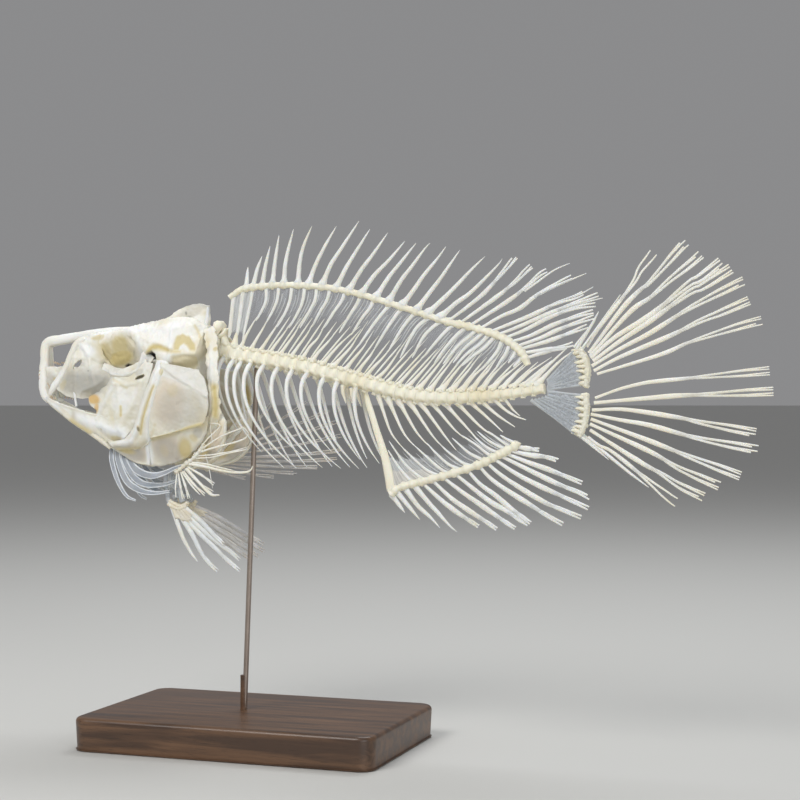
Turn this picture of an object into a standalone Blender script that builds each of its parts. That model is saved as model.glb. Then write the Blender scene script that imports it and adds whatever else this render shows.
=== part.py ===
"""Mounted skeleton of a tilapia, a deep-bodied cichlid fish, at life size.

Sizes are in millimetres and are turned into metres by place(). The fish lies along X with its
snout towards -X and its left side towards -Y. Its bones are given in its own axes, whose origin
is on the long axis of the body; the model's origin is under the middle of the stand's base.
"""
import math

import bmesh
import bpy
from mathutils import Vector

MM = 0.001
GAP = 0.3                # clearance between neighbouring bones
AXIS_X = 56.0            # fish axes to model axes: along the body
AXIS_Z = 127.0           # height of the body's long axis above the table

# Stand
BASE_LENGTH = 116.0
BASE_WIDTH = 72.0
BASE_HEIGHT = 12.0
BASE_ROUND = 6.0
BASE_CHAMFER = 1.5
ROD_RADIUS = 0.95
ROD_FOOT = (-61.4, -124.0)
ROD_TOP = (-56.1, 11.9)

# Backbone: middle line of the centra, their outer radius, and how they are counted
COLUMN = [(-73.7, 19.1), (-62.0, 16.3), (-38.9, 12.5), (-15.4, 6.5), (7.6, 1.3), (30.0, 1.2), (53.6, 3.9)]
COLUMN_RADIUS = [(-75, 3.4), (-15, 3.1), (30, 2.5), (54, 1.9)]
WAIST = 0.82             # radius at the middle of a centrum, of that at its rims
VERTEBRAE = 33
TRUNK_VERTEBRAE = 16
SLAB = 1.2               # half the thickness of the middle part of the trunk column
# Spines of the vertebrae above and below the column, from foot to tip
NEURAL = [
    ((-63.7, 17.1), (-58.1, 27.8)), ((-59.7, 16.3), (-54, 25.9)), ((-56.5, 15.6), (-49.2, 25.9)),
    ((-53.2, 14.1), (-46, 23.6)), ((-48.8, 14), (-41.6, 23.5)), ((-44.4, 13.3), (-36.5, 23.5)),
    ((-39.6, 12.5), (-32.1, 22.3)), ((-35.7, 11.7), (-27.8, 21.2)), ((-31.7, 11), (-22.3, 21.1)),
    ((-27, 11), (-17.3, 21.1)), ((-22.3, 9.5), (-13, 20.7)), ((-17.7, 8), (-11.5, 15.9)),
    ((-14.6, 6.5), (-6.1, 15.5)), ((-9.2, 7.4), (-1.5, 15.5)), ((-7.3, 3.6), (1.5, 13.3)),
    ((-3.1, 3.2), (5.7, 12.2)), ((1.1, 2.9), (10.2, 12.2)), ((6.1, 2.9), (14, 11.8)),
    ((10.6, 2.5), (16.6, 10.3)), ((15.1, 2.9), (21.1, 10)), ((19.2, 2.9), (24.8, 9.6)),
    ((22.9, 2.8), (28.5, 9.2)), ((26.7, 3.2), (31.8, 9.2)), ((30.3, 3.2), (35.5, 9.5)),
    ((34, 3.5), (40.3, 9.5)), ((37.7, 3.5), (43.2, 9.1)), ((41.3, 3.9), (48.6, 10.2)),
    ((45, 4.2), (52.2, 10.2)), ((47.5, 4.6), (59, 15.7)), ((50.4, 4.9), (61.9, 15.7))]
HAEMAL = [
    ((-8.9, 3.6), (-1.5, -14.4)), ((-5.3, 2.2), (2.7, -13.7)), ((-1.5, 1.4), (7.2, -12.6)),
    ((2.7, 0.7), (11.7, -12.2)), ((6.5, 0.7), (16.6, -12.1)), ((10.6, 0.7), (20, -10)),
    ((15.1, 0.7), (25.2, -9.9)), ((19.6, 1.1), (30.7, -9.9)), ((24.1, 1.1), (36.2, -9.5)),
    ((28.5, 1.4), (42.1, -9.2)), ((33.7, 2.1), (46.1, -6.7)), ((36.6, 2.5), (42.4, -3.9))]

# Ribs of one side: place of the root, sweep back, drop, and spread outwards
RIBS = [(-68.2, 7.0, 28.0, 7.6), (-64.3, 12.4, 34.6, 9.4), (-61.2, 18.2, 39.6, 10.0), (-57.4, 19.3, 39.0, 10.0),
        (-52.1, 15.8, 33.5, 9.8), (-46.5, 18.4, 37.0, 9.6), (-40.8, 19.8, 36.2, 9.2), (-34.9, 10.2, 28.8, 8.8),
        (-28.5, 14.3, 33.3, 7.6), (-23.2, 9.2, 28.6, 6.0), (-16.0, 9.2, 28.1, 3.6)]
RIB_BULGE = [(0.0, 0.0), (0.15, 0.72), (0.40, 1.0), (0.70, 0.80), (1.0, 0.30)]

# Dorsal fin: the bar of ray-bearer heads; foot, middle and tip of each spine and ray; and the bearers below the bar
DORSAL_BAR = [(-67.0, 38.4), (-64.2, 40.2), (-60.5, 41.6), (-46.8, 42.4), (-31.0, 41.5), (-17.3, 38.9), (0.0, 33.7),
              (17.0, 28.2), (28.1, 25.5), (38.4, 21.9), (45.0, 16.9), (47.5, 12.3)]
DORSAL_SPINES = 17
DORSAL_SPLIT = 17.35     # where the bar's front part, with the spines, ends
DORSAL_FIN = [
    ((-60.4, 41.6), (-60, 46.2), (-59.7, 49.7)), ((-57.7, 41.8), (-55.9, 48.4), (-53.9, 53.6)),
    ((-54, 42), (-52.5, 50.1), (-50.7, 57.2)), ((-49.9, 42.2), (-48.6, 52.1), (-47.2, 61.2)),
    ((-45.3, 42.4), (-43.9, 53.3), (-41.3, 63.2)), ((-39.7, 42.2), (-38.1, 53.9), (-34, 64.1)),
    ((-35.6, 41.9), (-30.4, 53.7), (-24.3, 63.7)), ((-30.3, 41.4), (-23.1, 54.6), (-15.5, 65.2)),
    ((-24.7, 40.7), (-17.9, 52.4), (-11.3, 62.1)), ((-19.8, 39.6), (-11.9, 50.9), (-4.4, 60.6)),
    ((-15.1, 38.1), (-6.1, 48.7), (2.1, 57.4)), ((-9.7, 36.4), (-1.5, 47.5), (6.3, 56.5)),
    ((-4.5, 35), (3.5, 46.8), (11.6, 56.4)), ((0.4, 33.6), (9.3, 45), (17.6, 55)),
    ((5.7, 31.6), (14.9, 43), (22.8, 53.6)), ((9.7, 30.3), (21.7, 41.2), (32, 51)),
    ((14.5, 28.9), (28.1, 39.5), (38.4, 50.1)), ((18.1, 28.1), (33.2, 39.6), (44.1, 51.5)),
    ((22.1, 27), (37.4, 37.4), (49.9, 47.9)), ((25.7, 26.1), (41.9, 36.1), (55.6, 46)),
    ((29.5, 25), (47.8, 34.6), (64.7, 43.6)), ((33.3, 24), (52.3, 31.3), (68.6, 37.9)),
    ((36, 22.8), (55.9, 30.5), (74.2, 37.1)), ((38.7, 21.7), (56, 29.1), (73.2, 33.3)),
    ((40.8, 20.3), (57.6, 26.6), (73.5, 31.3)), ((42.9, 18.7), (58.3, 24.5), (72.5, 29.2)),
    ((44, 17.7), (58, 21.8), (70, 26.1)), ((45.2, 16.5), (56, 17.9), (64.7, 19.9)),
    ((46.5, 14.6), (55, 17.1), (62.2, 18.7))]
DORSAL_BEARERS = [
    ((-52.4, 42.2), (-55.6, 30.8)), ((-47.2, 42.4), (-51.6, 30)), ((-42, 42.3), (-46.8, 28.8)),
    ((-36.9, 42.1), (-42, 28.3)), ((-32.1, 41.6), (-37.7, 28.3)), ((-27, 41), (-32.9, 28.6)),
    ((-21.2, 39.9), (-28.2, 28.1)), ((-15, 38.1), (-22.3, 26.2)), ((-10, 36.5), (-17.7, 25.4)),
    ((-3.4, 34.7), (-16.5, 18.9)), ((1.1, 33.2), (-8.8, 19.9)), ((6.8, 31.2), (-2.7, 19.8)),
    ((11.7, 29.6), (0.8, 16.9)), ((16.6, 28.3), (5.7, 16.5)), ((21.1, 27.2), (10.2, 16.8)),
    ((25.5, 26.2), (14, 14.7)), ((28.9, 25.3), (17.7, 14.6)), ((31.5, 24.4), (20.7, 14.2)),
    ((33.7, 23.7), (22.2, 13.5)), ((35.9, 22.9), (24.4, 13.1)), ((38.4, 21.9), (31.1, 12)),
    ((41, 20.1), (37.3, 13.4)), ((43.5, 18.1), (40.3, 13.7)), ((45.7, 15.7), (42.1, 12.3))]

# Anal fin
ANAL_BAR = [(-3.4, -34.0), (0.0, -31.5), (7.6, -29.4), (18.8, -26.4), (30.0, -22.7), (37.3, -19.1), (42.8, -16.2),
            (43.9, -14.8)]
ANAL_FIN = [
    ((-3.2, -34.1), (-0.2, -38), (2.1, -40.8)), ((-1.6, -32.6), (4, -39), (7.8, -43.2)),
    ((1.3, -30.9), (8.8, -39.7), (15.3, -45.9)), ((4.7, -30), (13.9, -39.9), (21.7, -47.2)),
    ((8, -29.3), (19.8, -38.9), (30.6, -45.5)), ((12.1, -28.6), (25.3, -39), (37.3, -46.4)),
    ((16, -27.4), (31, -37.7), (44.2, -45.9)), ((20.4, -26), (35.2, -36.6), (48.9, -44.3)),
    ((25, -24.5), (37.5, -35.2), (49.5, -44)), ((29.2, -23), (45.6, -35.2), (61.5, -44)),
    ((32, -21.8), (50.3, -34.1), (68.2, -41.4)), ((34.8, -20.6), (53.5, -30.9), (70.7, -38.2)),
    ((37.1, -19.5), (55.3, -28), (71.1, -34.8)), ((38.8, -18.6), (54.8, -24.3), (68.2, -29.3)),
    ((40.2, -17.7), (51.1, -19.6), (59.3, -21.4)), ((42.6, -16.3), (47.9, -17.1), (52.2, -17.5))]
ANAL_BEARERS = [
    ((4.9, -29.9), (-3.4, -19.8)), ((9.8, -28.9), (-1.5, -18.7)), ((15.5, -27.4), (1.1, -17.3)),
    ((19.6, -26.2), (6.1, -16.9)), ((23.3, -25), (11, -16.8)), ((27.8, -23.6), (15.5, -16.4)),
    ((31.8, -21.9), (20.7, -14.6)), ((35.1, -20.4), (24.1, -13.2)), ((37.7, -18.8), (29.2, -14.2)),
    ((39.9, -17.5), (31.1, -12.7)), ((42.1, -16.5), (34, -12)), ((43.5, -15.2), (38.4, -13.4))]
FIRST_BEARER = [(-12.3, -0.7), (-11.1, -4.3), (-9, -10.9), (-6.5, -18.1), (-4.6, -25.3), (-3.4, -32.8)]
FIRST_BEARER_RADII = (1.5, 1.6, 1.5, 1.9, 2.0, 1.6)

# Tail: plates, the bands on their edges, and the rays on those (foot, middle and tip)
UPPER_PLATE = ([(55.0, 4.2), (54.9, 4.9), (54.8, 5.6)], [(66.4, 5.2), (66.9, 9.4), (66.4, 13.2), (63.9, 16.9)])
LOWER_PLATE = ([(55.0, 3.0), (54.4, 1.4), (52.0, 0.6), (48.6, 0.0)], [(66.4, 1.6), (66.5, -3.2), (65.9, -7.7), (64.3, -11.6)])
UPPER_BAND = [(65.9, 17.6), (68.3, 14.0), (69.0, 9.6), (68.4, 5.2)]
LOWER_BAND = [(68.4, 1.5), (68.5, -3.4), (67.8, -8.2), (66.3, -12.4)]
SHORT_RAY = ((65.8, -1.2, 17.9), (74.0, -4.2, 30.4))
UPPER_RAYS = [
    ((68.6, 18.4), (80.7, 35), (92.9, 52)), ((69.3, 16.3), (86, 36.5), (105, 55.1)),
    ((69.7, 15.3), (88.8, 33.8), (109.8, 50.9)), ((70, 14.6), (93.4, 31.1), (116.8, 48.2)),
    ((70.8, 13.5), (95, 30.1), (120.2, 45.7)), ((70.4, 11.8), (97.2, 26.8), (124.9, 40.9)),
    ((71.1, 10.1), (98.6, 22.4), (126.6, 34.5)), ((72.2, 9), (101.3, 18.3), (130.9, 27.3))]
LOWER_RAYS = [
    ((71.5, 0.7), (102, 7.3), (133.6, 10)), ((71.1, -1), (102.8, 1.6), (134.9, 3)),
    ((70.4, -3.5), (99.6, -5.9), (128.9, -11.5)), ((70, -4.9), (99.6, -11), (129.6, -17.2)),
    ((70, -6.6), (96.6, -16.4), (123.6, -26.4)), ((69.7, -8.3), (92.9, -18.9), (116.3, -30)),
    ((69.7, -10.4), (89.7, -22.7), (110.9, -33.8)), ((69, -12.8), (85.3, -23.6), (101.3, -35.3))]

# Head: half width of the head along it, and how that shrinks with height
HEAD_WIDTH = [(-148, 4.0), (-142, 5.5), (-132, 8.5), (-115, 12.5), (-100, 15.5), (-85, 17.5), (-70, 17.0)]
HEAD_TAPER = [(-34, 0.35), (-22, 0.62), (-12, 0.88), (-2, 1.0), (8, 0.97), (20, 0.80), (30, 0.60)]
PLATE_THICKNESS = 0.7
# Skull: place along the body, heights of roof, widest line and base, half widths of the same
SKULL_STATIONS = [
    (-128.6, 23.4, 19.8, 13.6, 2.4, 4.2, 2.0),
    (-119.0, 24.6, 21.6, 11.4, 3.8, 6.4, 2.4),
    (-109.0, 25.8, 24.7, 10.6, 5.2, 8.4, 2.6),
    (-104.0, 28.2, 25.4, 10.4, 5.8, 9.4, 2.8),
    (-96.0, 29.2, 22.6, 9.8, 6.6, 11.4, 3.6),
    (-88.0, 29.8, 21.4, 8.6, 6.8, 12.4, 4.4),
    (-81.0, 29.4, 20.4, 9.4, 5.8, 11.4, 4.0),
    (-75.3, 26.4, 19.8, 14.4, 3.0, 6.4, 2.6)]
CREST = [(-99.0, 28.0), (-92.6, 31.3), (-88.5, 33.5), (-83.5, 35.7), (-79.3, 36.4), (-75.8, 35.6),
         (-75.4, 30.0), (-78.0, 27.0), (-88.0, 27.0)]
CREST_THICKNESS = 1.3
ORBIT = (-109.4, 8.7, 18.3)
ORBIT_RADII = (7.6, 8.0, 5.8)
JAW_ARCH = [(-145.0, 0.4, 22.6, 1.6), (-144.9, 2.7, 19.6, 1.6), (-144.6, 3.2, 12.0, 1.45), (-143.8, 3.4, 1.9, 1.5)]
JAW_PROCESS = [(-145.6, 0.0, 22.5, 1.3), (-141.0, 0.0, 23.4, 1.6), (-131.0, 0.0, 24.9, 1.35), (-117.5, 0.0, 26.8, 1.0),
               (-108.4, 0.0, 27.4, 0.7)]
MAXILLA = [(-127.2, 7.2, 22.3, 1.2), (-129.6, 7.5, 17.3, 0.85), (-134.9, 7.3, 9.1, 0.85), (-138.4, 6.6, 2.6, 1.2)]
LOWER_JAW = ([(-141.8, 1.1), (-138.0, -0.4), (-134.0, -1.5), (-127.6, -3.0), (-120.3, -4.6), (-115.4, -5.4)],
             [(-141.8, -0.8), (-136.0, -3.1), (-131.0, -6.0), (-124.6, -9.8), (-119.4, -12.9), (-115.4, -15.0)])
JAW_CHIN = [(-141.2, -5.2, -0.2, 1.2), (-143.7, -3.2, 0.3, 1.2), (-144.5, 0.0, 0.4, 1.2), (-143.7, 3.2, 0.3, 1.2),
            (-141.2, 5.2, -0.2, 1.2)]
LACHRYMAL = ([(-124.8, 22.4), (-125.4, 19.3), (-125.2, 16.0), (-129.3, 11.5), (-133.6, 7.0), (-133.0, 3.8)],
             [(-117.0, 22.2), (-116.0, 20.4), (-113.6, 16.3), (-111.6, 11.4), (-112.8, 7.4), (-116.0, 2.9)])
SUBORBITAL = [(-112.6, 10.6), (-106.7, 7.9), (-102.7, 8.2), (-98.3, 11.7), (-95.8, 15.2)]
CHEEK = ([(-104.0, 8.6), (-110.7, 7.2), (-116.2, 2.7), (-118.4, -1.5), (-118.6, -5.0), (-115.6, -9.6), (-113.0, -14.2)],
         [(-93.4, 15.2), (-94.4, 9.6), (-95.6, 4.0), (-97.2, -1.6), (-99.6, -7.0), (-102.6, -11.4), (-107.0, -15.0)])
PREOPERCLE = ([(-92.2, 15.6), (-93.6, 7.4), (-95.6, 0.0), (-98.6, -7.4), (-102.6, -12.4), (-112.4, -15.0)],
              [(-86.2, 16.6), (-87.6, 7.3), (-90.6, 0.0), (-93.6, -7.4), (-95.8, -16.0), (-108.4, -18.2)])
OPERCLE = ([(-86.4, 12.2), (-88.4, 5.0), (-91.4, -1.0), (-94.2, -8.0), (-95.0, -14.4)],
           [(-76.0, 11.4), (-69.6, 6.6), (-68.0, -1.0), (-69.4, -8.7), (-77.0, -12.4)])
SUBOPERCLE = ([(-69.2, -7.4), (-76.0, -11.0), (-84.4, -13.0), (-94.4, -15.4)],
              [(-70.6, -13.6), (-76.8, -19.0), (-83.6, -21.8), (-94.4, -23.0)])
INTEROPERCLE = ([(-113.2, -15.6), (-107.4, -16.8), (-101.0, -16.4), (-94.6, -15.8)],
                [(-111.6, -18.8), (-107.0, -21.4), (-101.8, -23.0), (-94.8, -23.4)])
# Gill-cover rays of one side: x, y, z
HYOID_BAR = [(-114.0, 4.2, -16.2), (-106.0, 5.4, -18.4), (-98.0, 6.2, -18.6), (-90.0, 7.2, -17.4)]
GILL_RAYS = [
    [(-113.2, 4.6, -16.6), (-112.6, 7.0, -24.5), (-109.3, 5.4, -32.9), (-103.8, 4.4, -38.1)],
    [(-110.6, 5.2, -18.0), (-109.0, 6.6, -29.4), (-100.4, 5.6, -35.3), (-89.4, 5.6, -35.2)],
    [(-107.8, 5.4, -18.4), (-105.4, 6.8, -28.2), (-98.7, 6.2, -32.3), (-88.3, 6.4, -31.4)],
    [(-104.6, 5.8, -18.6), (-101.8, 7.4, -26.0), (-95.3, 8.6, -28.2), (-86.0, 10.6, -26.8), (-79.0, 12.8, -24.6)]]

# Shoulder, pectoral fins
SHOULDER = [(-75.0, 9.4, 25.6, 1.0), (-70.6, 12.4, 19.6, 1.1), (-67.4, 14.2, 11.0, 1.3), (-65.4, 14.9, 1.6, 1.5),
            (-66.4, 13.4, -6.4, 1.5), (-70.8, 9.9, -14.0, 1.4), (-77.6, 7.4, -20.2, 1.4), (-87.6, 3.6, -24.6, 1.1)]
SHOULDER_BLADE = ([(-67.0, -5.0), (-70.6, -12.0), (-76.6, -17.4), (-84.0, -21.0)],
                  [(-63.4, -9.4), (-68.0, -17.0), (-74.6, -22.0), (-82.6, -25.2)])
SHOULDER_DEPTH = [(-88, 3.6), (-77, 7.6), (-70, 10.4), (-64, 13.4)]
PECTORAL_BASE = [(-71.4, -17.2), (-75.2, -21.0), (-79.2, -24.0), (-82.6, -26.6)]
PECTORAL_OUTSIDE = 3.2   # how far a pectoral fin's base lies outside the shoulder
LEFT_PECTORAL = [(19.7, 34), (27.5, 23.6), (29.5, 17), (29.3, 7), (30.5, -7), (18.0, -28), (21.0, -38), (20.0, -45),
                 (19.2, -52), (18.0, -62), (16.3, -73)]
RIGHT_PECTORAL = [(22.0, 48), (35.0, 31), (43.0, 22), (46.0, 16), (48.0, 10), (48.0, 4), (46.0, -2), (43.0, -7),
                  (38.0, -12), (30.0, -19), (22.0, -30)]
PECTORAL_SPLAY = 0.16

# Pelvic girdle and fins: (x, z) of base and of each tip
PELVIC_BONE = [(-90.6, 2.4, -27.6, 1.4), (-87.6, 3.0, -33.0, 1.6), (-84.4, 3.4, -38.6, 2.2)]
PELVIC_BRIDGE = 36.0
PELVIC_BASES = [(-88.6, -40.9), (-86.4, -41.4), (-84.2, -41.6), (-82.0, -41.4), (-80.2, -40.8)]
LEFT_PELVIC = [(-77.4, -60.6), (-68.8, -64.4), (-59.6, -63.9), (-59.0, -59.5), (-66.0, -54.0)]
RIGHT_PELVIC = [(-66.0, -60.0), (-61.0, -60.6), (-57.0, -59.6), (-55.0, -57.4), (-55.6, -54.6)]

COLOURS = {
    "ivory": ((0.83, 0.80, 0.70), 0.55, 0.0),
    "cream": ((0.80, 0.72, 0.52), 0.55, 0.0),
    "pale": ((0.88, 0.88, 0.84), 0.45, 0.0),
    "wood": ((0.10, 0.055, 0.03), 0.40, 0.0),
    "steel": ((0.32, 0.27, 0.24), 0.35, 1.0)}


def clear_scene():
    for old in list(bpy.data.objects):
        bpy.data.objects.remove(old, do_unlink=True)


def material(name):
    """A Principled material for one of the finishes in COLOURS."""
    made = bpy.data.materials.get(name) or bpy.data.materials.new(name)
    colour, roughness, metallic = COLOURS[name]
    made.use_nodes = True
    shader = made.node_tree.nodes["Principled BSDF"]
    shader.inputs["Base Color"].default_value = (*colour, 1.0)
    shader.inputs["Roughness"].default_value = roughness
    shader.inputs["Metallic"].default_value = metallic
    return made


def place(x, y, z):
    """A point of the fish's own axes, in millimetres, as a point of the model in metres."""
    return Vector(((x + AXIS_X) * MM, y * MM, (z + AXIS_Z) * MM))


def between(table, x):
    """The value at x of a table of (place, value) pairs joined by straight lines."""
    if x <= table[0][0]:
        return table[0][1]
    for (x0, v0), (x1, v1) in zip(table, table[1:]):
        if x <= x1:
            return v0 + (v1 - v0) * (x - x0) / (x1 - x0)
    return table[-1][1]


def spread(points, count):
    """count points, evenly spaced by length, along a line of many points."""
    lengths = [0.0]
    for a, b in zip(points, points[1:]):
        lengths.append(lengths[-1] + (b - a).length)
    result = []
    i = 0
    for k in range(count):
        wanted = lengths[-1] * k / (count - 1)
        while i < len(points) - 2 and lengths[i + 1] < wanted:
            i += 1
        share = (wanted - lengths[i]) / (lengths[i + 1] - lengths[i])
        result.append(points[i].lerp(points[i + 1], share))
    return result


def smooth(controls, count, steps=10):
    """count points, evenly spaced, on a smooth curve through the control points."""
    knots = [Vector(c) for c in controls]
    knots = [2 * knots[0] - knots[1]] + knots + [2 * knots[-1] - knots[-2]]
    dense = []
    for a, b, c, d in zip(knots, knots[1:], knots[2:], knots[3:]):
        for i in range(steps):
            t = i / steps
            dense.append(0.5 * (2 * b + (c - a) * t + (2 * a - 5 * b + 4 * c - d) * t ** 2
                                + (3 * b - a - 3 * c + d) * t ** 3))
    dense.append(knots[-2].copy())
    return spread(dense, count)


def evaluated_copy(obj, name):
    """A plain mesh object with the shape that obj has after its modifiers; obj is removed."""
    graph = bpy.context.evaluated_depsgraph_get()
    mesh = bpy.data.meshes.new_from_object(obj.evaluated_get(graph))
    turned = bpy.data.objects.new(name, mesh)
    turned.matrix_world = obj.matrix_world
    bpy.context.scene.collection.objects.link(turned)
    bpy.data.objects.remove(obj, do_unlink=True)
    return turned


def weld(obj, distance=0.000002):
    """Merges doubled corners and makes every face point outwards."""
    work = bmesh.new()
    work.from_mesh(obj.data)
    bmesh.ops.remove_doubles(work, verts=work.verts, dist=distance)
    bmesh.ops.dissolve_degenerate(work, edges=work.edges, dist=distance)
    bmesh.ops.recalc_face_normals(work, faces=work.faces)
    work.to_mesh(obj.data)
    work.free()


def three_sided_profile():
    """A triangle of unit height with its point forwards, to draw thin spines with."""
    outline = bpy.data.curves.new("profile", "CURVE")
    outline.dimensions = "2D"
    spline = outline.splines.new("POLY")
    spline.points.add(2)
    spline.use_cyclic_u = True
    for point, angle in zip(spline.points, (90, 210, 330)):
        angle = math.radians(angle)
        point.co = (1.3 * MM * math.cos(angle), 1.3 * MM * math.sin(angle), 0.0, 1.0)
    return bpy.data.objects.new("profile", outline)


def rods(name, paths, sides=4, twist="Z_UP"):
    """Closed tapered rods as one mesh. A path is a list of (x, y, z, radius)."""
    curve = bpy.data.curves.new(name, "CURVE")
    curve.dimensions = "3D"
    curve.use_fill_caps = True
    profile = None
    if sides == 3:
        profile = three_sided_profile()
        bpy.context.scene.collection.objects.link(profile)
        curve.bevel_mode = "OBJECT"
        curve.bevel_object = profile
        curve.twist_mode = twist
    else:
        curve.bevel_depth = MM
        curve.bevel_resolution = (sides - 4) // 2
    for path in paths:
        spline = curve.splines.new("POLY")
        spline.points.add(len(path) - 1)
        for point, (x, y, z, radius) in zip(spline.points, path):
            point.co = (*place(x, y, z), 1.0)
            point.radius = radius
    drawn = bpy.data.objects.new(name, curve)
    bpy.context.scene.collection.objects.link(drawn)
    solid = evaluated_copy(drawn, name)
    if profile:
        bpy.data.objects.remove(profile, do_unlink=True)
    weld(solid)
    return solid


def plate(name, edges, rows, columns, depth, thickness=PLATE_THICKNESS):
    """A curved plate between two edges of (x, z) points; depth(x, z) gives its y."""
    first = smooth(edges[0], rows + 1)
    second = smooth(edges[1], rows + 1)
    mesh = bpy.data.meshes.new(name)
    work = bmesh.new()
    bmesh.ops.create_grid(work, x_segments=columns, y_segments=rows, size=0.5)
    for vertex in work.verts:
        row = round((vertex.co.y + 0.5) * rows)
        spot = first[row].lerp(second[row], vertex.co.x + 0.5)
        vertex.co = place(spot.x, depth(spot.x, spot.y), spot.y)
    work.to_mesh(mesh)
    work.free()
    obj = bpy.data.objects.new(name, mesh)
    bpy.context.scene.collection.objects.link(obj)
    shell = obj.modifiers.new("thickness", "SOLIDIFY")
    shell.thickness = thickness * MM
    shell.offset = 0.0
    solid = evaluated_copy(obj, name)
    weld(solid)
    return solid


def boolean(target, other, operation):
    """Joins or cuts two closed meshes; other is removed."""
    modifier = target.modifiers.new(operation.lower(), "BOOLEAN")
    modifier.operation = operation
    modifier.object = other
    modifier.solver = "EXACT"
    modifier.use_self = True
    result = evaluated_copy(target, target.name)
    bpy.data.objects.remove(other, do_unlink=True)
    weld(result)
    return result


def united(name, *solids):
    result = solids[0]
    for other in solids[1:]:
        result = boolean(result, other, "UNION")
    result.name = name
    return result


def finish(obj, name, finish_name):
    """Names a finished bone, gives it its material and puts it in the model's collection."""
    obj.name = name
    obj.data.name = name
    obj.data.materials.clear()
    obj.data.materials.append(material(finish_name))
    bpy.context.scene.collection.objects.unlink(obj)
    MODEL.objects.link(obj)
    obj.data.shade_smooth()
    obj.data.set_sharp_from_angle(angle=math.radians(40))
    return obj


def cut_by_plane(obj, y, keep_left):
    """Keeps the part of a closed mesh on one side of the plane at y, and closes the cut."""
    work = bmesh.new()
    work.from_mesh(obj.data)
    everything = work.verts[:] + work.edges[:] + work.faces[:]
    bmesh.ops.bisect_plane(work, geom=everything, plane_co=(0, y * MM, 0), plane_no=(0, 1, 0),
                           clear_outer=keep_left, clear_inner=not keep_left)
    rim = [edge for edge in work.edges if edge.is_boundary]
    bmesh.ops.edgeloop_fill(work, edges=rim)
    work.to_mesh(obj.data)
    work.free()
    weld(obj)


def straight(foot, tip, radii, bow=0.0, y_foot=0.0, y_tip=0.0):
    """A path from foot to tip, both (x, z), bowed forwards by a share of its length."""
    foot = Vector(foot)
    tip = Vector(tip)
    along = tip - foot
    aside = Vector((-along.y, along.x)) * bow
    path = []
    for share, radius in radii:
        spot = foot + along * share + aside * math.sin(math.pi * share)
        path.append((spot.x, y_foot + (y_tip - y_foot) * share, spot.y, radius))
    return path


def polar(foot, length, angle):
    angle = math.radians(angle)
    return (foot[0] + length * math.cos(angle), foot[1] + length * math.sin(angle))


def mirrored(path):
    return [(x, -y, *rest) for x, y, *rest in path]


# --- backbone -------------------------------------------------------------------------------

COLUMN_LINE = smooth(COLUMN, VERTEBRAE * 4 + 1)


def column(vertebra):
    """Middle of the column at a vertebra, counted from 0 and then by fractions to the next."""
    place_on_line = min(max(vertebra * 4 + 2, 0), len(COLUMN_LINE) - 1.001)
    i = int(place_on_line)
    return COLUMN_LINE[i].lerp(COLUMN_LINE[i + 1], place_on_line - i)


def column_tube(name, first, last, front_gap=0.0):
    """A row of hourglass centra from vertebra first up to last, as one tube."""
    path = []
    for half in range(2 * (last - first) + 1):
        spot = column(first - 0.5 + half / 2)
        radius = between(COLUMN_RADIUS, spot.x) * (WAIST if half % 2 else 1.0)
        path.append((spot.x + (0.0 if half else front_gap), 0.0, spot.y, radius))
    return rods(name, [path], sides=6)


def height_on(line, x):
    """Height of a line at a place along the body."""
    for a, b in zip(line, line[1:]):
        if b.x >= x:
            return a.y + (b.y - a.y) * (x - a.x) / (b.x - a.x)
    return line[-1].y


SPINE_RADII = [(0.0, 0.9), (0.45, 0.52), (1.0, 0.25)]


BEARER_RADII = [(0.0, 0.62), (1.0, 0.3)]
TRUNK_END = column(TRUNK_VERTEBRAE - 0.5).x


def spines(table, radii=SPINE_RADII):
    return [straight(foot, tip, radii) for foot, tip in table]


def first_arches():
    """The thick arches of the first two vertebrae, which stand up behind the skull."""
    first = column(0)
    second = column(1)
    return [[(first.x, 0.0, first.y, 0.95), (first.x, 0.0, 23.4, 0.95), (first.x, 0.0, 26.2, 1.4),
             (first.x + 0.3, 0.0, 28.8, 1.5)],
            [(second.x, 0.0, second.y, 0.9), (-69.6, 0.0, 22.6, 0.9), (-70.2, 0.0, 26.2, 0.9)]]


def build_trunk():
    """Trunk column in three layers: the middle carries the spines, each side its ribs."""
    middle = column_tube("middle", 0, TRUNK_VERTEBRAE)
    cut_by_plane(middle, SLAB - GAP / 2, True)
    cut_by_plane(middle, GAP / 2 - SLAB, False)
    upright = rods("spines", spines([line for line in NEURAL if line[0][0] < TRUNK_END]), sides=3)
    finish(united("trunk", middle, upright, rods("arches", first_arches())), "backbone_trunk", "cream")
    for name, side in (("ribs_left", -1), ("ribs_right", 1)):
        layer = column_tube("layer", 0, TRUNK_VERTEBRAE)
        cut_by_plane(layer, side * (SLAB + GAP / 2), side < 0)
        ribs = rods("ribs", [rib(side, *each) for each in RIBS], sides=3, twist="MINIMUM")
        finish(united(name, layer, ribs), name, "ivory")


def rib(side, root, sweep, drop, spread_out):
    """Path of a rib: out from the vertebra, down round the belly and back."""
    root_width = between(COLUMN_RADIUS, root) * 0.75
    path = []
    for share, radius in ((0.0, 0.95), (0.16, 0.75), (0.5, 0.58), (1.0, 0.28)):
        x = root + sweep * share ** 2.2
        y = root_width + spread_out * between(RIB_BULGE, share)
        z = height_on(COLUMN_LINE, root) - 1.0 - drop * share
        path.append((x, side * y, z, radius))
    return path


def build_tail_column():
    tube = column_tube("tube", TRUNK_VERTEBRAE, VERTEBRAE, 2 * GAP)
    paths = spines([line for line in NEURAL if line[0][0] > TRUNK_END] + HAEMAL)
    finish(united("tail", tube, rods("spines", paths, sides=3)), "backbone_tail", "cream")


# --- fins of the middle line -------------------------------------------------------------------

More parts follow.
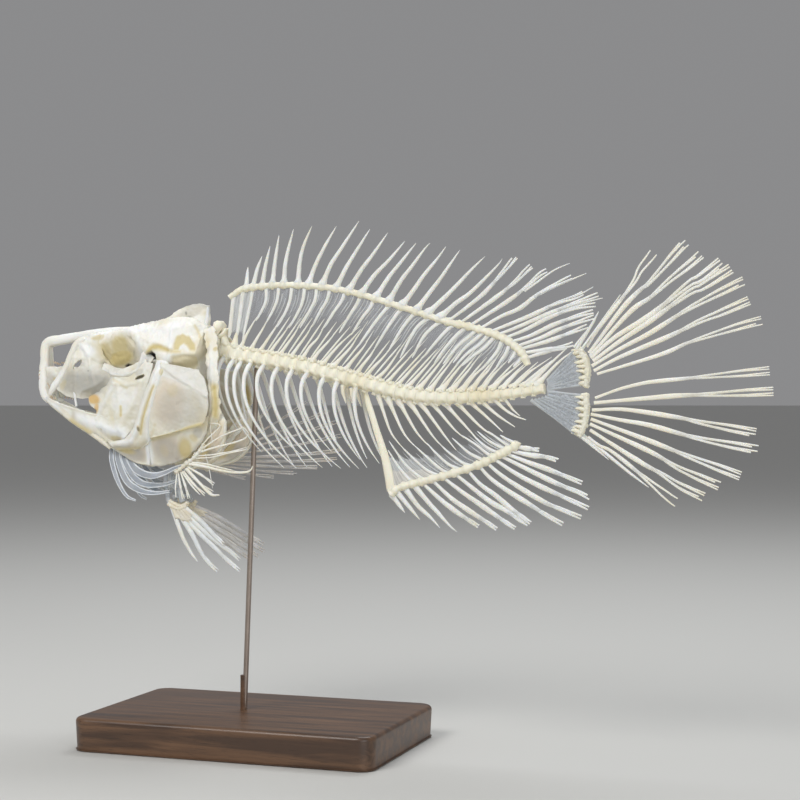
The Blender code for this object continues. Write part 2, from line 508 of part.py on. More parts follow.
DORSAL_LINE = smooth(DORSAL_BAR, 81)
ANAL_LINE = smooth(ANAL_BAR, 61)
HARD = (0.95, 0.68, 0.22)
SOFT = (0.5, 0.85, 0.4)
CAUDAL = (0.6, 0.95, 0.4)


def bar_tube(name, points, radius):
    return rods(name, [[(p.x, 0.0, p.y, radius) for p in points]], sides=6)


def elements(table, first_soft=0):
    """Paths of a fin's spines and rays; those before first_soft are spines."""
    return [[(x, 0.0, z, radius) for (x, z), radius in zip(line, HARD if k < first_soft else SOFT)]
            for k, line in enumerate(table)]


def build_dorsal_fin():
    paths = elements(DORSAL_FIN, DORSAL_SPINES)
    split = height_on(DORSAL_LINE, DORSAL_SPLIT)
    front = [p for p in DORSAL_LINE[::5] if p.x < DORSAL_SPLIT - 1.0] + [Vector((DORSAL_SPLIT - GAP / 2, split))]
    rear = [Vector((DORSAL_SPLIT + GAP / 2, split))] + [p for p in DORSAL_LINE[::8] if p.x > DORSAL_SPLIT + 1.0]
    front_bearers = spines([b for b in DORSAL_BEARERS if b[0][0] < DORSAL_SPLIT], BEARER_RADII) + front_plates()
    rear_bearers = spines([b for b in DORSAL_BEARERS if b[0][0] > DORSAL_SPLIT], BEARER_RADII)
    for name, bar, up, down in (("dorsal_fin_spines", front, paths[:DORSAL_SPINES], front_bearers),
                                ("dorsal_fin_rays", rear, paths[DORSAL_SPINES:], rear_bearers)):
        solid = united(name, bar_tube("bar", bar, 1.0), rods("rays", up, sides=3), rods("bearers", down, sides=3))
        finish(solid, name, "pale")


def front_plates():
    """The two upright plates under the front end of the bar."""
    return [[(-65.4, 0.0, 39.4, 0.9), (-66.4, 0.0, 30.0, 0.9), (-67.4, 0.0, 23.2, 0.6)],
            [(-61.6, 0.0, 41.2, 0.8), (-63.0, 0.0, 31.0, 0.8), (-64.4, 0.0, 22.6, 0.5)]]


def build_anal_fin():
    stout = [(x, 0.0, z, radius) for (x, z), radius in zip(FIRST_BEARER, FIRST_BEARER_RADII)]
    bearers = spines(ANAL_BEARERS, BEARER_RADII) + [stout]
    tube = bar_tube("bar", ANAL_LINE[::10], 1.0)
    rays = rods("rays", elements(ANAL_FIN, 4), sides=3)
    finish(united("anal", tube, rays, rods("bearers", bearers, sides=3)), "anal_fin", "pale")


def caudal_rays(band, table):
    """Rays of one lobe, each from the nearest place on the middle of its band."""
    line = smooth(band, 41)
    paths = []
    for foot, middle, tip in table:
        start = min(line[1:-1], key=lambda p: (p - Vector(foot)).length)
        paths.append([(x, 0.0, z, radius) for (x, z), radius in zip((start, middle, tip), CAUDAL)])
    return paths


def build_tail_fin():
    for name, edges in (("tail_plate_upper", UPPER_PLATE), ("tail_plate_lower", LOWER_PLATE)):
        finish(plate(name, edges, 4, 1, lambda x, z: 0.0, 1.2), name, "pale")
    short = [(*SHORT_RAY[0], 0.4), (*SHORT_RAY[1], 0.3)]
    for name, band, table, aside in (("caudal_fin_upper", UPPER_BAND, UPPER_RAYS, [short]),
                                     ("caudal_fin_lower", LOWER_BAND, LOWER_RAYS, [])):
        tube = bar_tube("band", smooth(band, 6), 1.7)
        finish(united(name, tube, rods("rays", caudal_rays(band, table) + aside, sides=3)), name, "cream")


# --- head ------------------------------------------------------------------------------------

def head_side(side, inset=0.0):
    """A function giving the y of the head's side, drawn in by inset, at (x, z)."""
    return lambda x, z: side * (between(HEAD_WIDTH, x) * between(HEAD_TAPER, z) - inset)


def skull_block():
    """The braincase, roof and snout as a loft through rings of ten points."""
    mesh = bpy.data.meshes.new("skull")
    work = bmesh.new()
    rings = []
    for x, roof, side, base, roof_width, side_width, base_width in SKULL_STATIONS:
        low = (side + base) / 2
        low_width = (side_width + base_width) * 0.5
        half = [(0.0, roof), (roof_width, roof - 0.6), (side_width, side), (low_width, low), (base_width, base)]
        ring = half + [(0.0, base - 0.3)] + [(-y, z) for y, z in reversed(half[1:])]
        rings.append([work.verts.new(place(x, y, z)) for y, z in ring])
    for first, second in zip(rings, rings[1:]):
        for i in range(len(first)):
            j = (i + 1) % len(first)
            work.faces.new((first[i], first[j], second[j], second[i]))
    work.faces.new(rings[0])
    work.faces.new(rings[-1])
    work.to_mesh(mesh)
    work.free()
    obj = bpy.data.objects.new("skull", mesh)
    bpy.context.scene.collection.objects.link(obj)
    weld(obj)
    return obj


def outline_plate(name, outline, thickness):
    """A flat outline of (x, z) points, extruded to a thickness about the middle plane."""
    curve = bpy.data.curves.new(name, "CURVE")
    curve.dimensions = "2D"
    curve.fill_mode = "BOTH"
    curve.extrude = thickness * MM / 2
    spline = curve.splines.new("POLY")
    spline.points.add(len(outline) - 1)
    spline.use_cyclic_u = True
    for point, (x, z) in zip(spline.points, outline):
        point.co = ((x + AXIS_X) * MM, (z + AXIS_Z) * MM, 0.0, 1.0)
    drawn = bpy.data.objects.new(name, curve)
    drawn.rotation_euler = (math.pi / 2, 0.0, 0.0)
    bpy.context.scene.collection.objects.link(drawn)
    bpy.context.view_layer.update()
    solid = evaluated_copy(drawn, name)
    solid.data.transform(solid.matrix_world)
    solid.matrix_world.identity()
    weld(solid)
    return solid


def orbit_cutter(side):
    work = bmesh.new()
    bmesh.ops.create_uvsphere(work, u_segments=10, v_segments=6, radius=1.0)
    for vertex in work.verts:
        x, y, z = (c * r for c, r in zip(vertex.co, ORBIT_RADII))
        vertex.co = place(ORBIT[0] + x, side * ORBIT[1] + y, ORBIT[2] + z)
    mesh = bpy.data.meshes.new("orbit")
    work.to_mesh(mesh)
    work.free()
    obj = bpy.data.objects.new("orbit", mesh)
    bpy.context.scene.collection.objects.link(obj)
    return obj


def build_skull():
    solid = united("skull", skull_block(), outline_plate("crest", CREST, CREST_THICKNESS))
    for side in (-1, 1):
        solid = boolean(solid, orbit_cutter(side), "DIFFERENCE")
    finish(solid, "skull", "ivory")


def build_jaws():
    arch = rods("arch", [JAW_ARCH, mirrored(JAW_ARCH), JAW_PROCESS])
    ball = rods("ball", [[(-146.7, 0.0, 22.4, 1.2), (-144.0, 0.0, 22.9, 1.5)]], sides=6)
    finish(united("upper_jaw", ball, arch), "upper_jaw", "pale")
    chin = rods("chin", [JAW_CHIN])
    left = plate("left", LOWER_JAW, 5, 2, head_side(-1, 0.6), 1.2)
    right = plate("right", LOWER_JAW, 5, 2, head_side(1, 0.6), 1.2)
    finish(united("lower_jaw", chin, left, right), "lower_jaw", "pale")


def suborbital(side):
    depth = head_side(side, 0.2)
    return [[(x, depth(x, z), z, 0.7) for x, z in (tuple(p) for p in smooth(SUBORBITAL, 6))]]


def build_head_side(name, side):
    """The bones on one side of the head, each a plate on the head's curved side."""
    outer = head_side(side, -0.7)
    finish(rods("maxilla", [[(x, side * y, z, r) for x, y, z, r in MAXILLA]], 6), "maxilla_" + name, "pale")
    cheek_front = plate("lachrymal", LACHRYMAL, 5, 2, head_side(side, 0.2))
    finish(united("lachrymal", cheek_front, rods("ring", suborbital(side))), "lachrymal_" + name, "pale")
    finish(plate("cheek", CHEEK, 6, 2, head_side(side, 2.2)), "cheek_" + name, "ivory")
    finish(plate("preopercle", PREOPERCLE, 5, 1, outer, 0.8), "preopercle_" + name, "cream")
    finish(plate("opercle", OPERCLE, 4, 3, head_side(side, 0.5)), "opercle_" + name, "ivory")
    finish(plate("subopercle", SUBOPERCLE, 4, 2, head_side(side, 1.85)), "subopercle_" + name, "ivory")
    finish(plate("interopercle", INTEROPERCLE, 4, 1, head_side(side, 0.7)), "interopercle_" + name, "ivory")


def build_gill_rays(name, side):
    """The hyoid bar and the curved gill-cover rays that hang from it."""
    bar = rods("bar", [[(x, side * y, z, 1.2) for x, y, z in HYOID_BAR]])
    rays = []
    for controls in GILL_RAYS:
        line = smooth([(x, side * y, z) for x, y, z in controls], 5)
        radii = (0.7, 1.1, 1.1, 0.9, 0.4)
        rays.append([(*p, r) for p, r in zip(line, radii)])
    finish(united("gill", bar, rods("rays", rays, sides=3, twist="MINIMUM")), "gill_rays_" + name, "pale")


# --- shoulder and paired fins -------------------------------------------------------------------

def build_shoulder(name, side):
    arch = rods("arch", [[(x, side * y, z, r) for x, y, z, r in SHOULDER]])
    blade = plate("blade", SHOULDER_BLADE, 3, 2, lambda x, z: side * shoulder_depth(x), 0.9)
    finish(united("shoulder", arch, blade), "shoulder_" + name, "cream")


def shoulder_depth(x):
    """Distance from the middle of the shoulder's blade at a place along the body."""
    return between(SHOULDER_DEPTH, x)


def build_pectoral_fin(name, side, table):
    line = smooth(PECTORAL_BASE, 41)
    foot_tube = []
    rays = []
    for k, (length, angle) in enumerate(table):
        foot = line[int(k / (len(table) - 1) * (len(line) - 1))]
        y = shoulder_depth(foot.x) + PECTORAL_OUTSIDE
        foot_tube.append((foot.x, side * y, foot.y, 0.9))
        tip = polar(foot, length, angle)
        rays.append(straight(foot, tip, [(0.0, 0.5), (1.0, 0.28)],
                             y_foot=side * y, y_tip=side * (y + PECTORAL_SPLAY * length)))
    tube = rods("foot", [foot_tube[::2] if len(foot_tube) % 2 else foot_tube], sides=6)
    finish(united("pectoral", tube, rods("rays", rays, sides=3)), "pectoral_fin_" + name, "pale")


def build_pelvis():
    left = rods("left", [mirrored(PELVIC_BONE), PELVIC_BONE], sides=6)
    bridge = rods("bridge", [[(-85.6, -3.0, -PELVIC_BRIDGE, 1.3), (-85.6, 3.0, -PELVIC_BRIDGE, 1.3)]], 6)
    finish(united("pelvis", left, bridge), "pelvic_girdle", "ivory")


def build_pelvic_fin(name, side, tips):
    y = side * 3.6
    tube = rods("foot", [[(x, y, z, 0.95) for x, z in PELVIC_BASES]], sides=6)
    rays = []
    for k, (foot, tip) in enumerate(zip(PELVIC_BASES, tips)):
        rays.append(straight(foot, tip, [(0.0, 0.65), (0.55, 0.8), (1.0, 0.35)], bow=0.04,
                             y_foot=y, y_tip=side * (5.0 + 0.6 * k)))
    finish(united("pelvic", tube, rods("rays", rays, sides=3)), "pelvic_fin_" + name, "pale")


# --- stand ------------------------------------------------------------------------------------

def build_base():
    """A flat block with rounded corners and chamfered edges, drilled for the rod."""
    work = bmesh.new()
    bmesh.ops.create_cube(work, size=1.0)
    for vertex in work.verts:
        vertex.co = Vector((vertex.co.x * BASE_LENGTH, vertex.co.y * BASE_WIDTH,
                            (vertex.co.z + 0.5) * BASE_HEIGHT)) * MM
    corners = [e for e in work.edges if abs(e.verts[0].co.z - e.verts[1].co.z) > 0.5 * BASE_HEIGHT * MM]
    bmesh.ops.bevel(work, geom=corners, offset=BASE_ROUND * MM, segments=3, affect="EDGES", profile=0.5)
    rims = [e for e in work.edges if all(v.co.z > (BASE_HEIGHT - 0.01) * MM for v in e.verts)]
    bmesh.ops.bevel(work, geom=rims, offset=BASE_CHAMFER * MM, segments=1, affect="EDGES", profile=0.5)
    mesh = bpy.data.meshes.new("base")
    work.to_mesh(mesh)
    work.free()
    block = bpy.data.objects.new("base", mesh)
    bpy.context.scene.collection.objects.link(block)
    weld(block)
    over = (ROD_FOOT[0], 0.0, ROD_FOOT[1] - GAP, ROD_RADIUS + 1.2 * GAP)
    lean = (ROD_TOP[0] - ROD_FOOT[0]) / (ROD_TOP[1] - ROD_FOOT[1])
    hole = rods("hole", [[over, (ROD_FOOT[0] + 20 * lean, 0.0, ROD_FOOT[1] + 20, over[3])]], 8)
    finish(boolean(block, hole, "DIFFERENCE"), "stand_base", "wood")


def build_rod():
    path = [(ROD_FOOT[0], 0.0, ROD_FOOT[1], ROD_RADIUS), (ROD_TOP[0], 0.0, ROD_TOP[1], ROD_RADIUS)]
    finish(rods("rod", [path], sides=8), "stand_rod", "steel")


clear_scene()
MODEL = bpy.data.collections.new("fish_skeleton")
bpy.context.scene.collection.children.link(MODEL)

build_base()
build_rod()
build_trunk()
build_tail_column()
build_dorsal_fin()
build_anal_fin()
build_tail_fin()
build_skull()
build_jaws()
for SIDE_NAME, SIDE in (("left", -1), ("right", 1)):
    build_head_side(SIDE_NAME, SIDE)
    build_gill_rays(SIDE_NAME, SIDE)
    build_shoulder(SIDE_NAME, SIDE)
build_pectoral_fin("left", -1, LEFT_PECTORAL)
build_pectoral_fin("right", 1, RIGHT_PECTORAL)
build_pelvis()
build_pelvic_fin("left", -1, LEFT_PELVIC)
build_pelvic_fin("right", 1, RIGHT_PELVIC)
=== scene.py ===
import math
import random

import bmesh
import bpy
import numpy as np
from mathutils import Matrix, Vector, noise


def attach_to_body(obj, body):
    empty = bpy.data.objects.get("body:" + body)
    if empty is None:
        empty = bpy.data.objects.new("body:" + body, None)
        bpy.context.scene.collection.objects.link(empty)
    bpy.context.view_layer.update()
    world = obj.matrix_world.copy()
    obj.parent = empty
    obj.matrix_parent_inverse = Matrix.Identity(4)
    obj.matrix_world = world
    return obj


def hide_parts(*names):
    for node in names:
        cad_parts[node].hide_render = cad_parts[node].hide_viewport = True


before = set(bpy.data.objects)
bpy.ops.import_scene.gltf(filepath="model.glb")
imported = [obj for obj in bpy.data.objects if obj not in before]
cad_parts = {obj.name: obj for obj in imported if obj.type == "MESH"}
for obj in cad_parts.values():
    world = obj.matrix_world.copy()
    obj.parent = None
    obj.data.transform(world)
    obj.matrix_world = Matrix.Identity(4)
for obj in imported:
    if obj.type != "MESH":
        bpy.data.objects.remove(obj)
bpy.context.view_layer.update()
MM = 0.001

# --- Studio -----------------------------------------------------------------------------------
# A plain pale floor, a plain grey surround, and three soft boxes that light the fish from the
# front, the side and behind. The camera is level with it.

scene = bpy.context.scene
scene.view_settings.view_transform = "Standard"


def node(tree, kind, sockets=None, **settings):
    """Adds a node, sets its properties, and sets or links its input sockets."""
    made = tree.nodes.new(kind)
    for key, value in settings.items():
        setattr(made, key, value)
    for key, value in (sockets or {}).items():
        socket = made.inputs[key]
        if isinstance(value, bpy.types.NodeSocket):
            tree.links.new(value, socket)
        else:
            socket.default_value = value
    return made


def new_material(name, **constants):
    """A material with a Principled shader; constants are set on the shader's own sockets."""
    made = bpy.data.materials.new(name)
    made.use_nodes = True
    shader = made.node_tree.nodes["Principled BSDF"]
    for key, value in constants.items():
        shader.inputs[key.replace("_", " ")].default_value = value
    return made, made.node_tree, shader


def add_floor(reach=40.0, pale=(0.62, 0.62, 0.60, 1), gap=0.1 * MM):
    mesh = bpy.data.meshes.new("floor")
    work = bmesh.new()
    bmesh.ops.create_circle(work, cap_ends=True, segments=96, radius=reach)
    work.to_mesh(mesh)
    work.free()
    floor = bpy.data.objects.new("floor", mesh)
    floor.location.z = -gap
    scene.collection.objects.link(floor)
    mesh.materials.append(new_material("floor", Roughness=0.75, Base_Color=pale)[0])


def add_soft_box(name, place, aim, size, watts, colour):
    lamp = bpy.data.lights.new(name, "AREA")
    lamp.shape = "DISK"
    lamp.size = size
    lamp.energy = watts
    lamp.color = colour
    holder = bpy.data.objects.new(name, lamp)
    holder.location = place
    holder.rotation_euler = (Vector(aim) - Vector(place)).to_track_quat("-Z", "Y").to_euler()
    scene.collection.objects.link(holder)


def add_camera(turn=19.0, distance=0.62, aim=(0.056, 0.0, 0.127), lens=77.5, film=36.0, nearest=0.01):
    camera = bpy.data.cameras.new("camera")
    camera.lens = lens
    camera.sensor_width = film
    camera.clip_start = nearest
    holder = bpy.data.objects.new("camera", camera)
    angle = math.radians(turn)
    holder.location = Vector(aim) + distance * Vector((math.sin(angle), -math.cos(angle), 0))
    holder.rotation_euler = (math.pi / 2, 0, angle)
    scene.collection.objects.link(holder)
    scene.camera = holder


def add_surround(grey=(0.26, 0.26, 0.265, 1)):
    world = bpy.data.worlds.new("studio")
    world.use_nodes = True
    world.node_tree.nodes["Background"].inputs["Color"].default_value = grey
    scene.world = world


WARM_LIGHT, COOL_LIGHT = (1.0, 0.985, 0.96), (0.97, 0.985, 1.0)
add_floor()
add_surround()
add_soft_box("key", (-0.30, -0.75, 0.85), aim=(0.04, 0, 0.12), size=0.55, watts=6.2, colour=WARM_LIGHT)
add_soft_box("fill", (0.75, -0.80, 0.25), aim=(0.06, 0, 0.12), size=0.80, watts=3.6, colour=COOL_LIGHT)
add_soft_box("back", (0.10, 0.42, 1.10), aim=(0.06, 0, 0.12), size=0.70, watts=6.0, colour=COOL_LIGHT)
add_camera()

# --- Stand ------------------------------------------------------------------------------------
# A flat block of dark-stained hardwood, sanded and varnished, with softened edges. A dull
# drawn-steel rod rises from a short collar on it and leans a little towards the tail.

AXIS = Vector((56.0, 0.0, 127.0))      # the fish's own origin in the model, in millimetres


def fish(x, y, z):
    """A point of the fish's own axes, in millimetres, in the model's metres."""
    return (Vector((x, y, z)) + AXIS) * MM


def show(obj, slot, *nodes):
    """Puts a finished piece in place of its CAD nodes, on the model's one body."""
    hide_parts(*nodes)
    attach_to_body(obj, "root")


def from_bmesh(name, work, finish):
    """A smooth-shaded mesh object from a bmesh, with its normals outward."""
    bmesh.ops.recalc_face_normals(work, faces=work.faces)
    mesh = bpy.data.meshes.new(name)
    work.to_mesh(mesh)
    work.free()
    mesh.materials.append(finish)
    mesh.shade_smooth()
    obj = bpy.data.objects.new(name, mesh)
    scene.collection.objects.link(obj)
    return obj


def texture(tree, where, scale, detail, **more):
    """A smooth random value over the given places."""
    sockets = {"Vector": where, "Scale": scale, "Detail": detail, **more}
    return node(tree, "ShaderNodeTexNoise", sockets).outputs[0]


def stretched(tree, where, scale, turn=(0, 0, 0)):
    """Places scaled unevenly, so that a texture over them runs in streaks."""
    return node(tree, "ShaderNodeMapping", {"Vector": where, "Rotation": turn, "Scale": scale}).outputs[0]


def ramp(tree, value, start=0.0, stop=1.0, low=0.0, high=1.0):
    """Brings a value from between start and stop to between low and high."""
    sockets = {"Value": value, "From Min": start, "From Max": stop, "To Min": low, "To Max": high}
    return node(tree, "ShaderNodeMapRange", sockets).outputs[0]


def blend(tree, share, first, second):
    """The first colour, and the second where the share is 1."""
    return node(tree, "ShaderNodeMix", {0: share, 6: first, 7: second}, data_type="RGBA").outputs[2]


def relief(tree, height, strength, distance):
    """The normal of a finely raised surface."""
    sockets = {"Height": height, "Strength": strength, "Distance": distance}
    return node(tree, "ShaderNodeBump", sockets).outputs[0]


def attach(tree, shader, **outputs):
    """Links outputs to the shader's own sockets."""
    for key, output in outputs.items():
        tree.links.new(output, shader.inputs[key.replace("_", " ")])


def stained_wood():
    finish, tree, shader = new_material("stained wood", Coat_Weight=0.25, Coat_Roughness=0.2)
    where = node(tree, "ShaderNodeTexCoord").outputs["Object"]
    grain = texture(tree, stretched(tree, where, (22, 300, 300)), 1.0, 6.0, Distortion=0.6)
    pore = texture(tree, stretched(tree, where, (160, 3200, 3200)), 1.0, 2.0)
    tone = blend(tree, ramp(tree, grain, 0.38, 0.66), (0.060, 0.030, 0.016, 1), (0.155, 0.080, 0.040, 1))
    tone = blend(tree, ramp(tree, pore, 0.60, 0.70, high=0.55), tone, (0.022, 0.012, 0.008, 1))
    attach(tree, shader, Base_Color=tone, Roughness=ramp(tree, grain, low=0.30, high=0.52),
           Normal=relief(tree, pore, 0.25, 0.15 * MM))
    return finish


def drawn_steel():
    finish, tree, shader = new_material("drawn steel", Metallic=0.85)
    where = node(tree, "ShaderNodeTexCoord").outputs["Object"]
    line = texture(tree, stretched(tree, where, (3500, 3500, 60)), 1.0, 3.0)
    cloud = texture(tree, where, 90.0, 4.0)
    tone = blend(tree, cloud, (0.25, 0.20, 0.17, 1), (0.46, 0.39, 0.34, 1))
    attach(tree, shader, Base_Color=tone, Roughness=ramp(tree, line, low=0.32, high=0.58),
           Normal=relief(tree, line, 0.3, 0.02 * MM))
    return finish


def skin(work, rings):
    """Faces between neighbouring closed rings of corners, and a cap on each end."""
    for low, high in zip(rings, rings[1:]):
        for i in range(len(low)):
            j = (i + 1) % len(low)
            work.faces.new((low[i], low[j], high[j], high[i]))
    work.faces.new(rings[0])
    work.faces.new(rings[-1])


def plain(obj, *helpers):
    """The same object as a plain mesh, with its modifiers' result; the helpers are removed."""
    graph = bpy.context.evaluated_depsgraph_get()
    mesh = bpy.data.meshes.new_from_object(obj.evaluated_get(graph), preserve_all_data_layers=True,
                                           depsgraph=graph)
    name = obj.name
    for old in (obj, *helpers):
        bpy.data.objects.remove(old, do_unlink=True)
    mesh.name = name
    made = bpy.data.objects.new(name, mesh)
    scene.collection.objects.link(made)
    return made


def rounded_outline(length, width, corner, inset, level, steps=12):
    """The places round a block with round corners, at a level and less an inset, in millimetres."""
    places = []
    for quarter, (sx, sy) in enumerate(((1, 1), (-1, 1), (-1, -1), (1, -1))):
        for k in range(steps + 1):
            angle = math.pi / 2 * (quarter + k / steps)
            radius = corner - inset
            places.append((sx * (length / 2 - corner) + radius * math.cos(angle),
                           sy * (width / 2 - corner) + radius * math.sin(angle), level))
    return places


def add_base(length=116.0, width=72.0, height=12.0, corner=6.0, edge=1.6, foot_edge=0.56):
    """A rounded outline lofted up through the rounded top edge, then cut with the drill. The rings of
    the foot run down first, which folds a thin lip under the lower edge and leaves the faces pointing
    inwards. So the cut makes no hole: it adds the drill's upper part, as a collar round the rod."""
    levels = [(foot_edge * (1 - math.cos(a)), foot_edge * (1 - math.sin(a)))
              for a in (0.0, 0.8, math.pi / 2)]
    levels += [(edge * (1 - math.cos(a)), height - edge * (1 - math.sin(a)))
               for a in [math.pi / 2 * k / 6 for k in range(7)]]
    work = bmesh.new()
    skin(work, [[work.verts.new(Vector(place) * MM)
                 for place in rounded_outline(length, width, corner, *step)] for step in levels])
    block = from_bmesh("base_block", work, stained_wood())
    cut = block.modifiers.new("hole", "BOOLEAN")
    cut.operation = "DIFFERENCE"
    cut.object = drill()
    cut.solver = "EXACT"
    base = plain(block, cut.object)
    base.data.set_sharp_from_angle(angle=math.radians(50))
    show(base, "dark_wood", "stand_base")


def drill(radius=1.25 * MM, depth=22 * MM, start=10.8 * MM):
    """A round bar where the rod's hole was meant to be."""
    work = bmesh.new()
    bmesh.ops.create_cone(work, cap_ends=True, segments=40, radius1=radius, radius2=radius, depth=depth)
    bmesh.ops.translate(work, verts=work.verts, vec=fish(*ROD[0]) + Vector((0, 0, start)))
    return from_bmesh("drill", work, stained_wood())


ROD = [(-61.4, 0.0, -124.0), (-56.1, 0.0, 11.9)]     # its foot and its top


def add_rod(radius=0.95 * MM, sides=32):
    """A round rod from inside the block to the backbone, with a small bevel on each end."""
    foot, top = (fish(*p) for p in ROD)
    across = (top - foot).normalized().cross(Vector((0, 1, 0))).normalized()
    stations = ([(0.0, 0.7), (0.0004, 1.0)] + [(0.02 * k, 1.0) for k in range(1, 50)]
                + [(0.9975, 1.0), (1.0, 0.75)])
    turns = [across * math.cos(2 * math.pi * k / sides)
             + Vector((0, 1, 0)) * math.sin(2 * math.pi * k / sides) for k in range(sides)]
    work = bmesh.new()
    skin(work, [[work.verts.new(foot.lerp(top, share) + radius * size * turn) for turn in turns]
                for share, size in stations])
    rod = from_bmesh("support_rod", work, drawn_steel())
    rod.data.set_sharp_from_angle(angle=math.radians(40))
    show(rod, "stand_steel", "stand_rod")


add_base()
add_rod()

# --- Backbone ---------------------------------------------------------------------------------
# 33 hourglass vertebrae of dry, cream bone, wired end to end, with pits between their struts and
# small knobs at their ends. Neural spines slant up and back, haemal spines down and back.

# Middle line of the column, (x, z), and its girth by place
COLUMN = [(-73.7, 19.1), (-62.0, 16.3), (-38.9, 12.5), (-15.4, 6.5), (7.6, 1.3), (30.0, 1.2), (53.6, 3.9)]
COLUMN_GIRTH = [(-75, 3.4), (-15, 3.1), (30, 2.5), (54, 1.9)]
VERTEBRAE, TRUNK = 33, 16
PITCH = 4.02                          # the length of one vertebra
# Middle lines of the spines from foot to tip, (x, z)
NEURAL = [
    [(-63.7, 17.1), (-60.5, 23.8), (-58.1, 27.8), (-56, 30.8)],
    [(-59.7, 16.3), (-56.9, 21.5), (-54, 25.9), (-51.6, 30)],
    [(-56.5, 15.6), (-52.4, 21.5), (-49.2, 25.9), (-46.8, 29.5)],
    [(-53.2, 14.1), (-49.6, 19.2), (-46, 23.6), (-43.2, 27.2)],
    [(-48.8, 14), (-44.4, 19.9), (-41.6, 23.5), (-38.9, 27.6)],
    [(-44.4, 13.3), (-40, 19.1), (-36.5, 23.5), (-34.1, 27.1)],
    [(-39.6, 12.5), (-35.3, 19.1), (-32.1, 22.3), (-29.4, 26.7)],
    [(-35.7, 11.7), (-32.1, 16.8), (-27.8, 21.2), (-24.7, 24.8)],
    [(-31.7, 11), (-26.6, 16.8), (-22.3, 21.1), (-19.2, 23.6)],
    [(-27, 11), (-22.7, 15.3), (-19.2, 18.9), (-16.1, 23.2)],
    [(-22.3, 9.5), (-18.1, 14.5), (-14.2, 18.9), (-12.3, 21.7)],
    [(-17.7, 8), (-14.6, 12.3), (-11.5, 15.9), (-8.8, 19.9)],
    [(-14.6, 6.5), (-10.7, 11.2), (-7.3, 14.5), (-3.8, 18.4)],
    [(-11.1, 5.8), (-6.1, 10.1), (-3.4, 13.3), (0, 18)],
    [(-7.3, 3.6), (-3.4, 7.9), (0, 11.5), (4.6, 16.2)], [(-3.1, 3.2), (1.5, 7.9), (4.9, 11.5), (9.5, 16.1)],
    [(1.1, 2.9), (6.1, 7.9), (9.5, 11.5), (13.2, 15.7)], [(6.1, 2.9), (10.6, 7.9), (13.6, 11.4), (17, 15.7)],
    [(10.6, 2.5), (14.7, 7.9), (17, 10.7), (19.6, 13.9)],
    [(15.1, 2.9), (19.2, 7.8), (22.2, 11.4), (25.2, 14.6)],
    [(19.2, 2.9), (23.3, 7.8), (25.5, 10.3), (27.8, 13.1)],
    [(22.9, 2.8), (27, 7.8), (30, 10.6), (32.6, 13.1)],
    [(26.7, 3.2), (30, 7.4), (32.9, 10.3), (35.1, 13.4)], [(30.3, 3.2), (34, 7.8), (36.2, 10.2), (38.1, 12)],
    [(34, 3.5), (38.4, 7.8), (41, 9.9), (43.2, 11.6)], [(37.7, 3.5), (41.7, 7.7), (43.9, 9.8), (45.7, 11.2)],
    [(41.3, 3.9), (45.7, 7.7), (48.6, 10.2), (51.9, 12.3)],
    [(45, 4.2), (49.3, 8.1), (52.2, 10.2), (55.4, 12.2)],
    [(47.5, 4.6), (51.9, 9.1), (56.2, 13.3), (61.5, 18.1)],
    [(50.4, 4.9), (54.7, 9.4), (59, 13.6), (63.7, 17.1)]]
HAEMAL = [
    [(-9.2, 4.3), (-4.2, -10.1), (-1.5, -14.4), (0.8, -16.9)],
    [(-5.3, 2.2), (0.4, -10.1), (3.4, -14.4), (6.1, -16.9)],
    [(-1.5, 1.4), (5.3, -10.1), (8.7, -14.3), (11.4, -16.8)],
    [(2.7, 0.7), (10.2, -10), (13.6, -14.3), (16.6, -17.1)],
    [(6.5, 0.7), (14.7, -10), (18.1, -14.3), (21.1, -17.8)],
    [(10.6, 0.7), (14.4, -3.6), (20, -10), (24.1, -13.5)],
    [(15.1, 0.7), (19.2, -3.6), (25.2, -9.9), (29.6, -14.5)],
    [(19.6, 1.1), (24.1, -3.6), (30.7, -9.9), (36.2, -13.4)],
    [(24.1, 1.1), (29.2, -3.2), (33.7, -7.1), (38.4, -11.3)],
    [(28.5, 1.4), (33.7, -3.2), (37.3, -6), (42.8, -9.5)],
    [(33.7, 2.1), (38.4, -2.8), (42.8, -5.6), (46.8, -7)],
    [(36.6, 2.5), (39.9, -0.7), (42.1, -3.5), (44.6, -5.6)]]


def new_group(name, kind, takes, gives):
    """A node group and its input values; takes and gives name its sockets and their kinds."""
    tree = bpy.data.node_groups.new(name, kind)
    for way, sockets in (("INPUT", takes), ("OUTPUT", gives)):
        for socket, sort in sockets.items():
            tree.interface.new_socket(socket, in_out=way, socket_type="NodeSocket" + sort)
    return tree, node(tree, "NodeGroupInput").outputs


def maths(tree, operation, first, second):
    return node(tree, "ShaderNodeMath", {0: first, 1: second}, operation=operation).outputs[0]


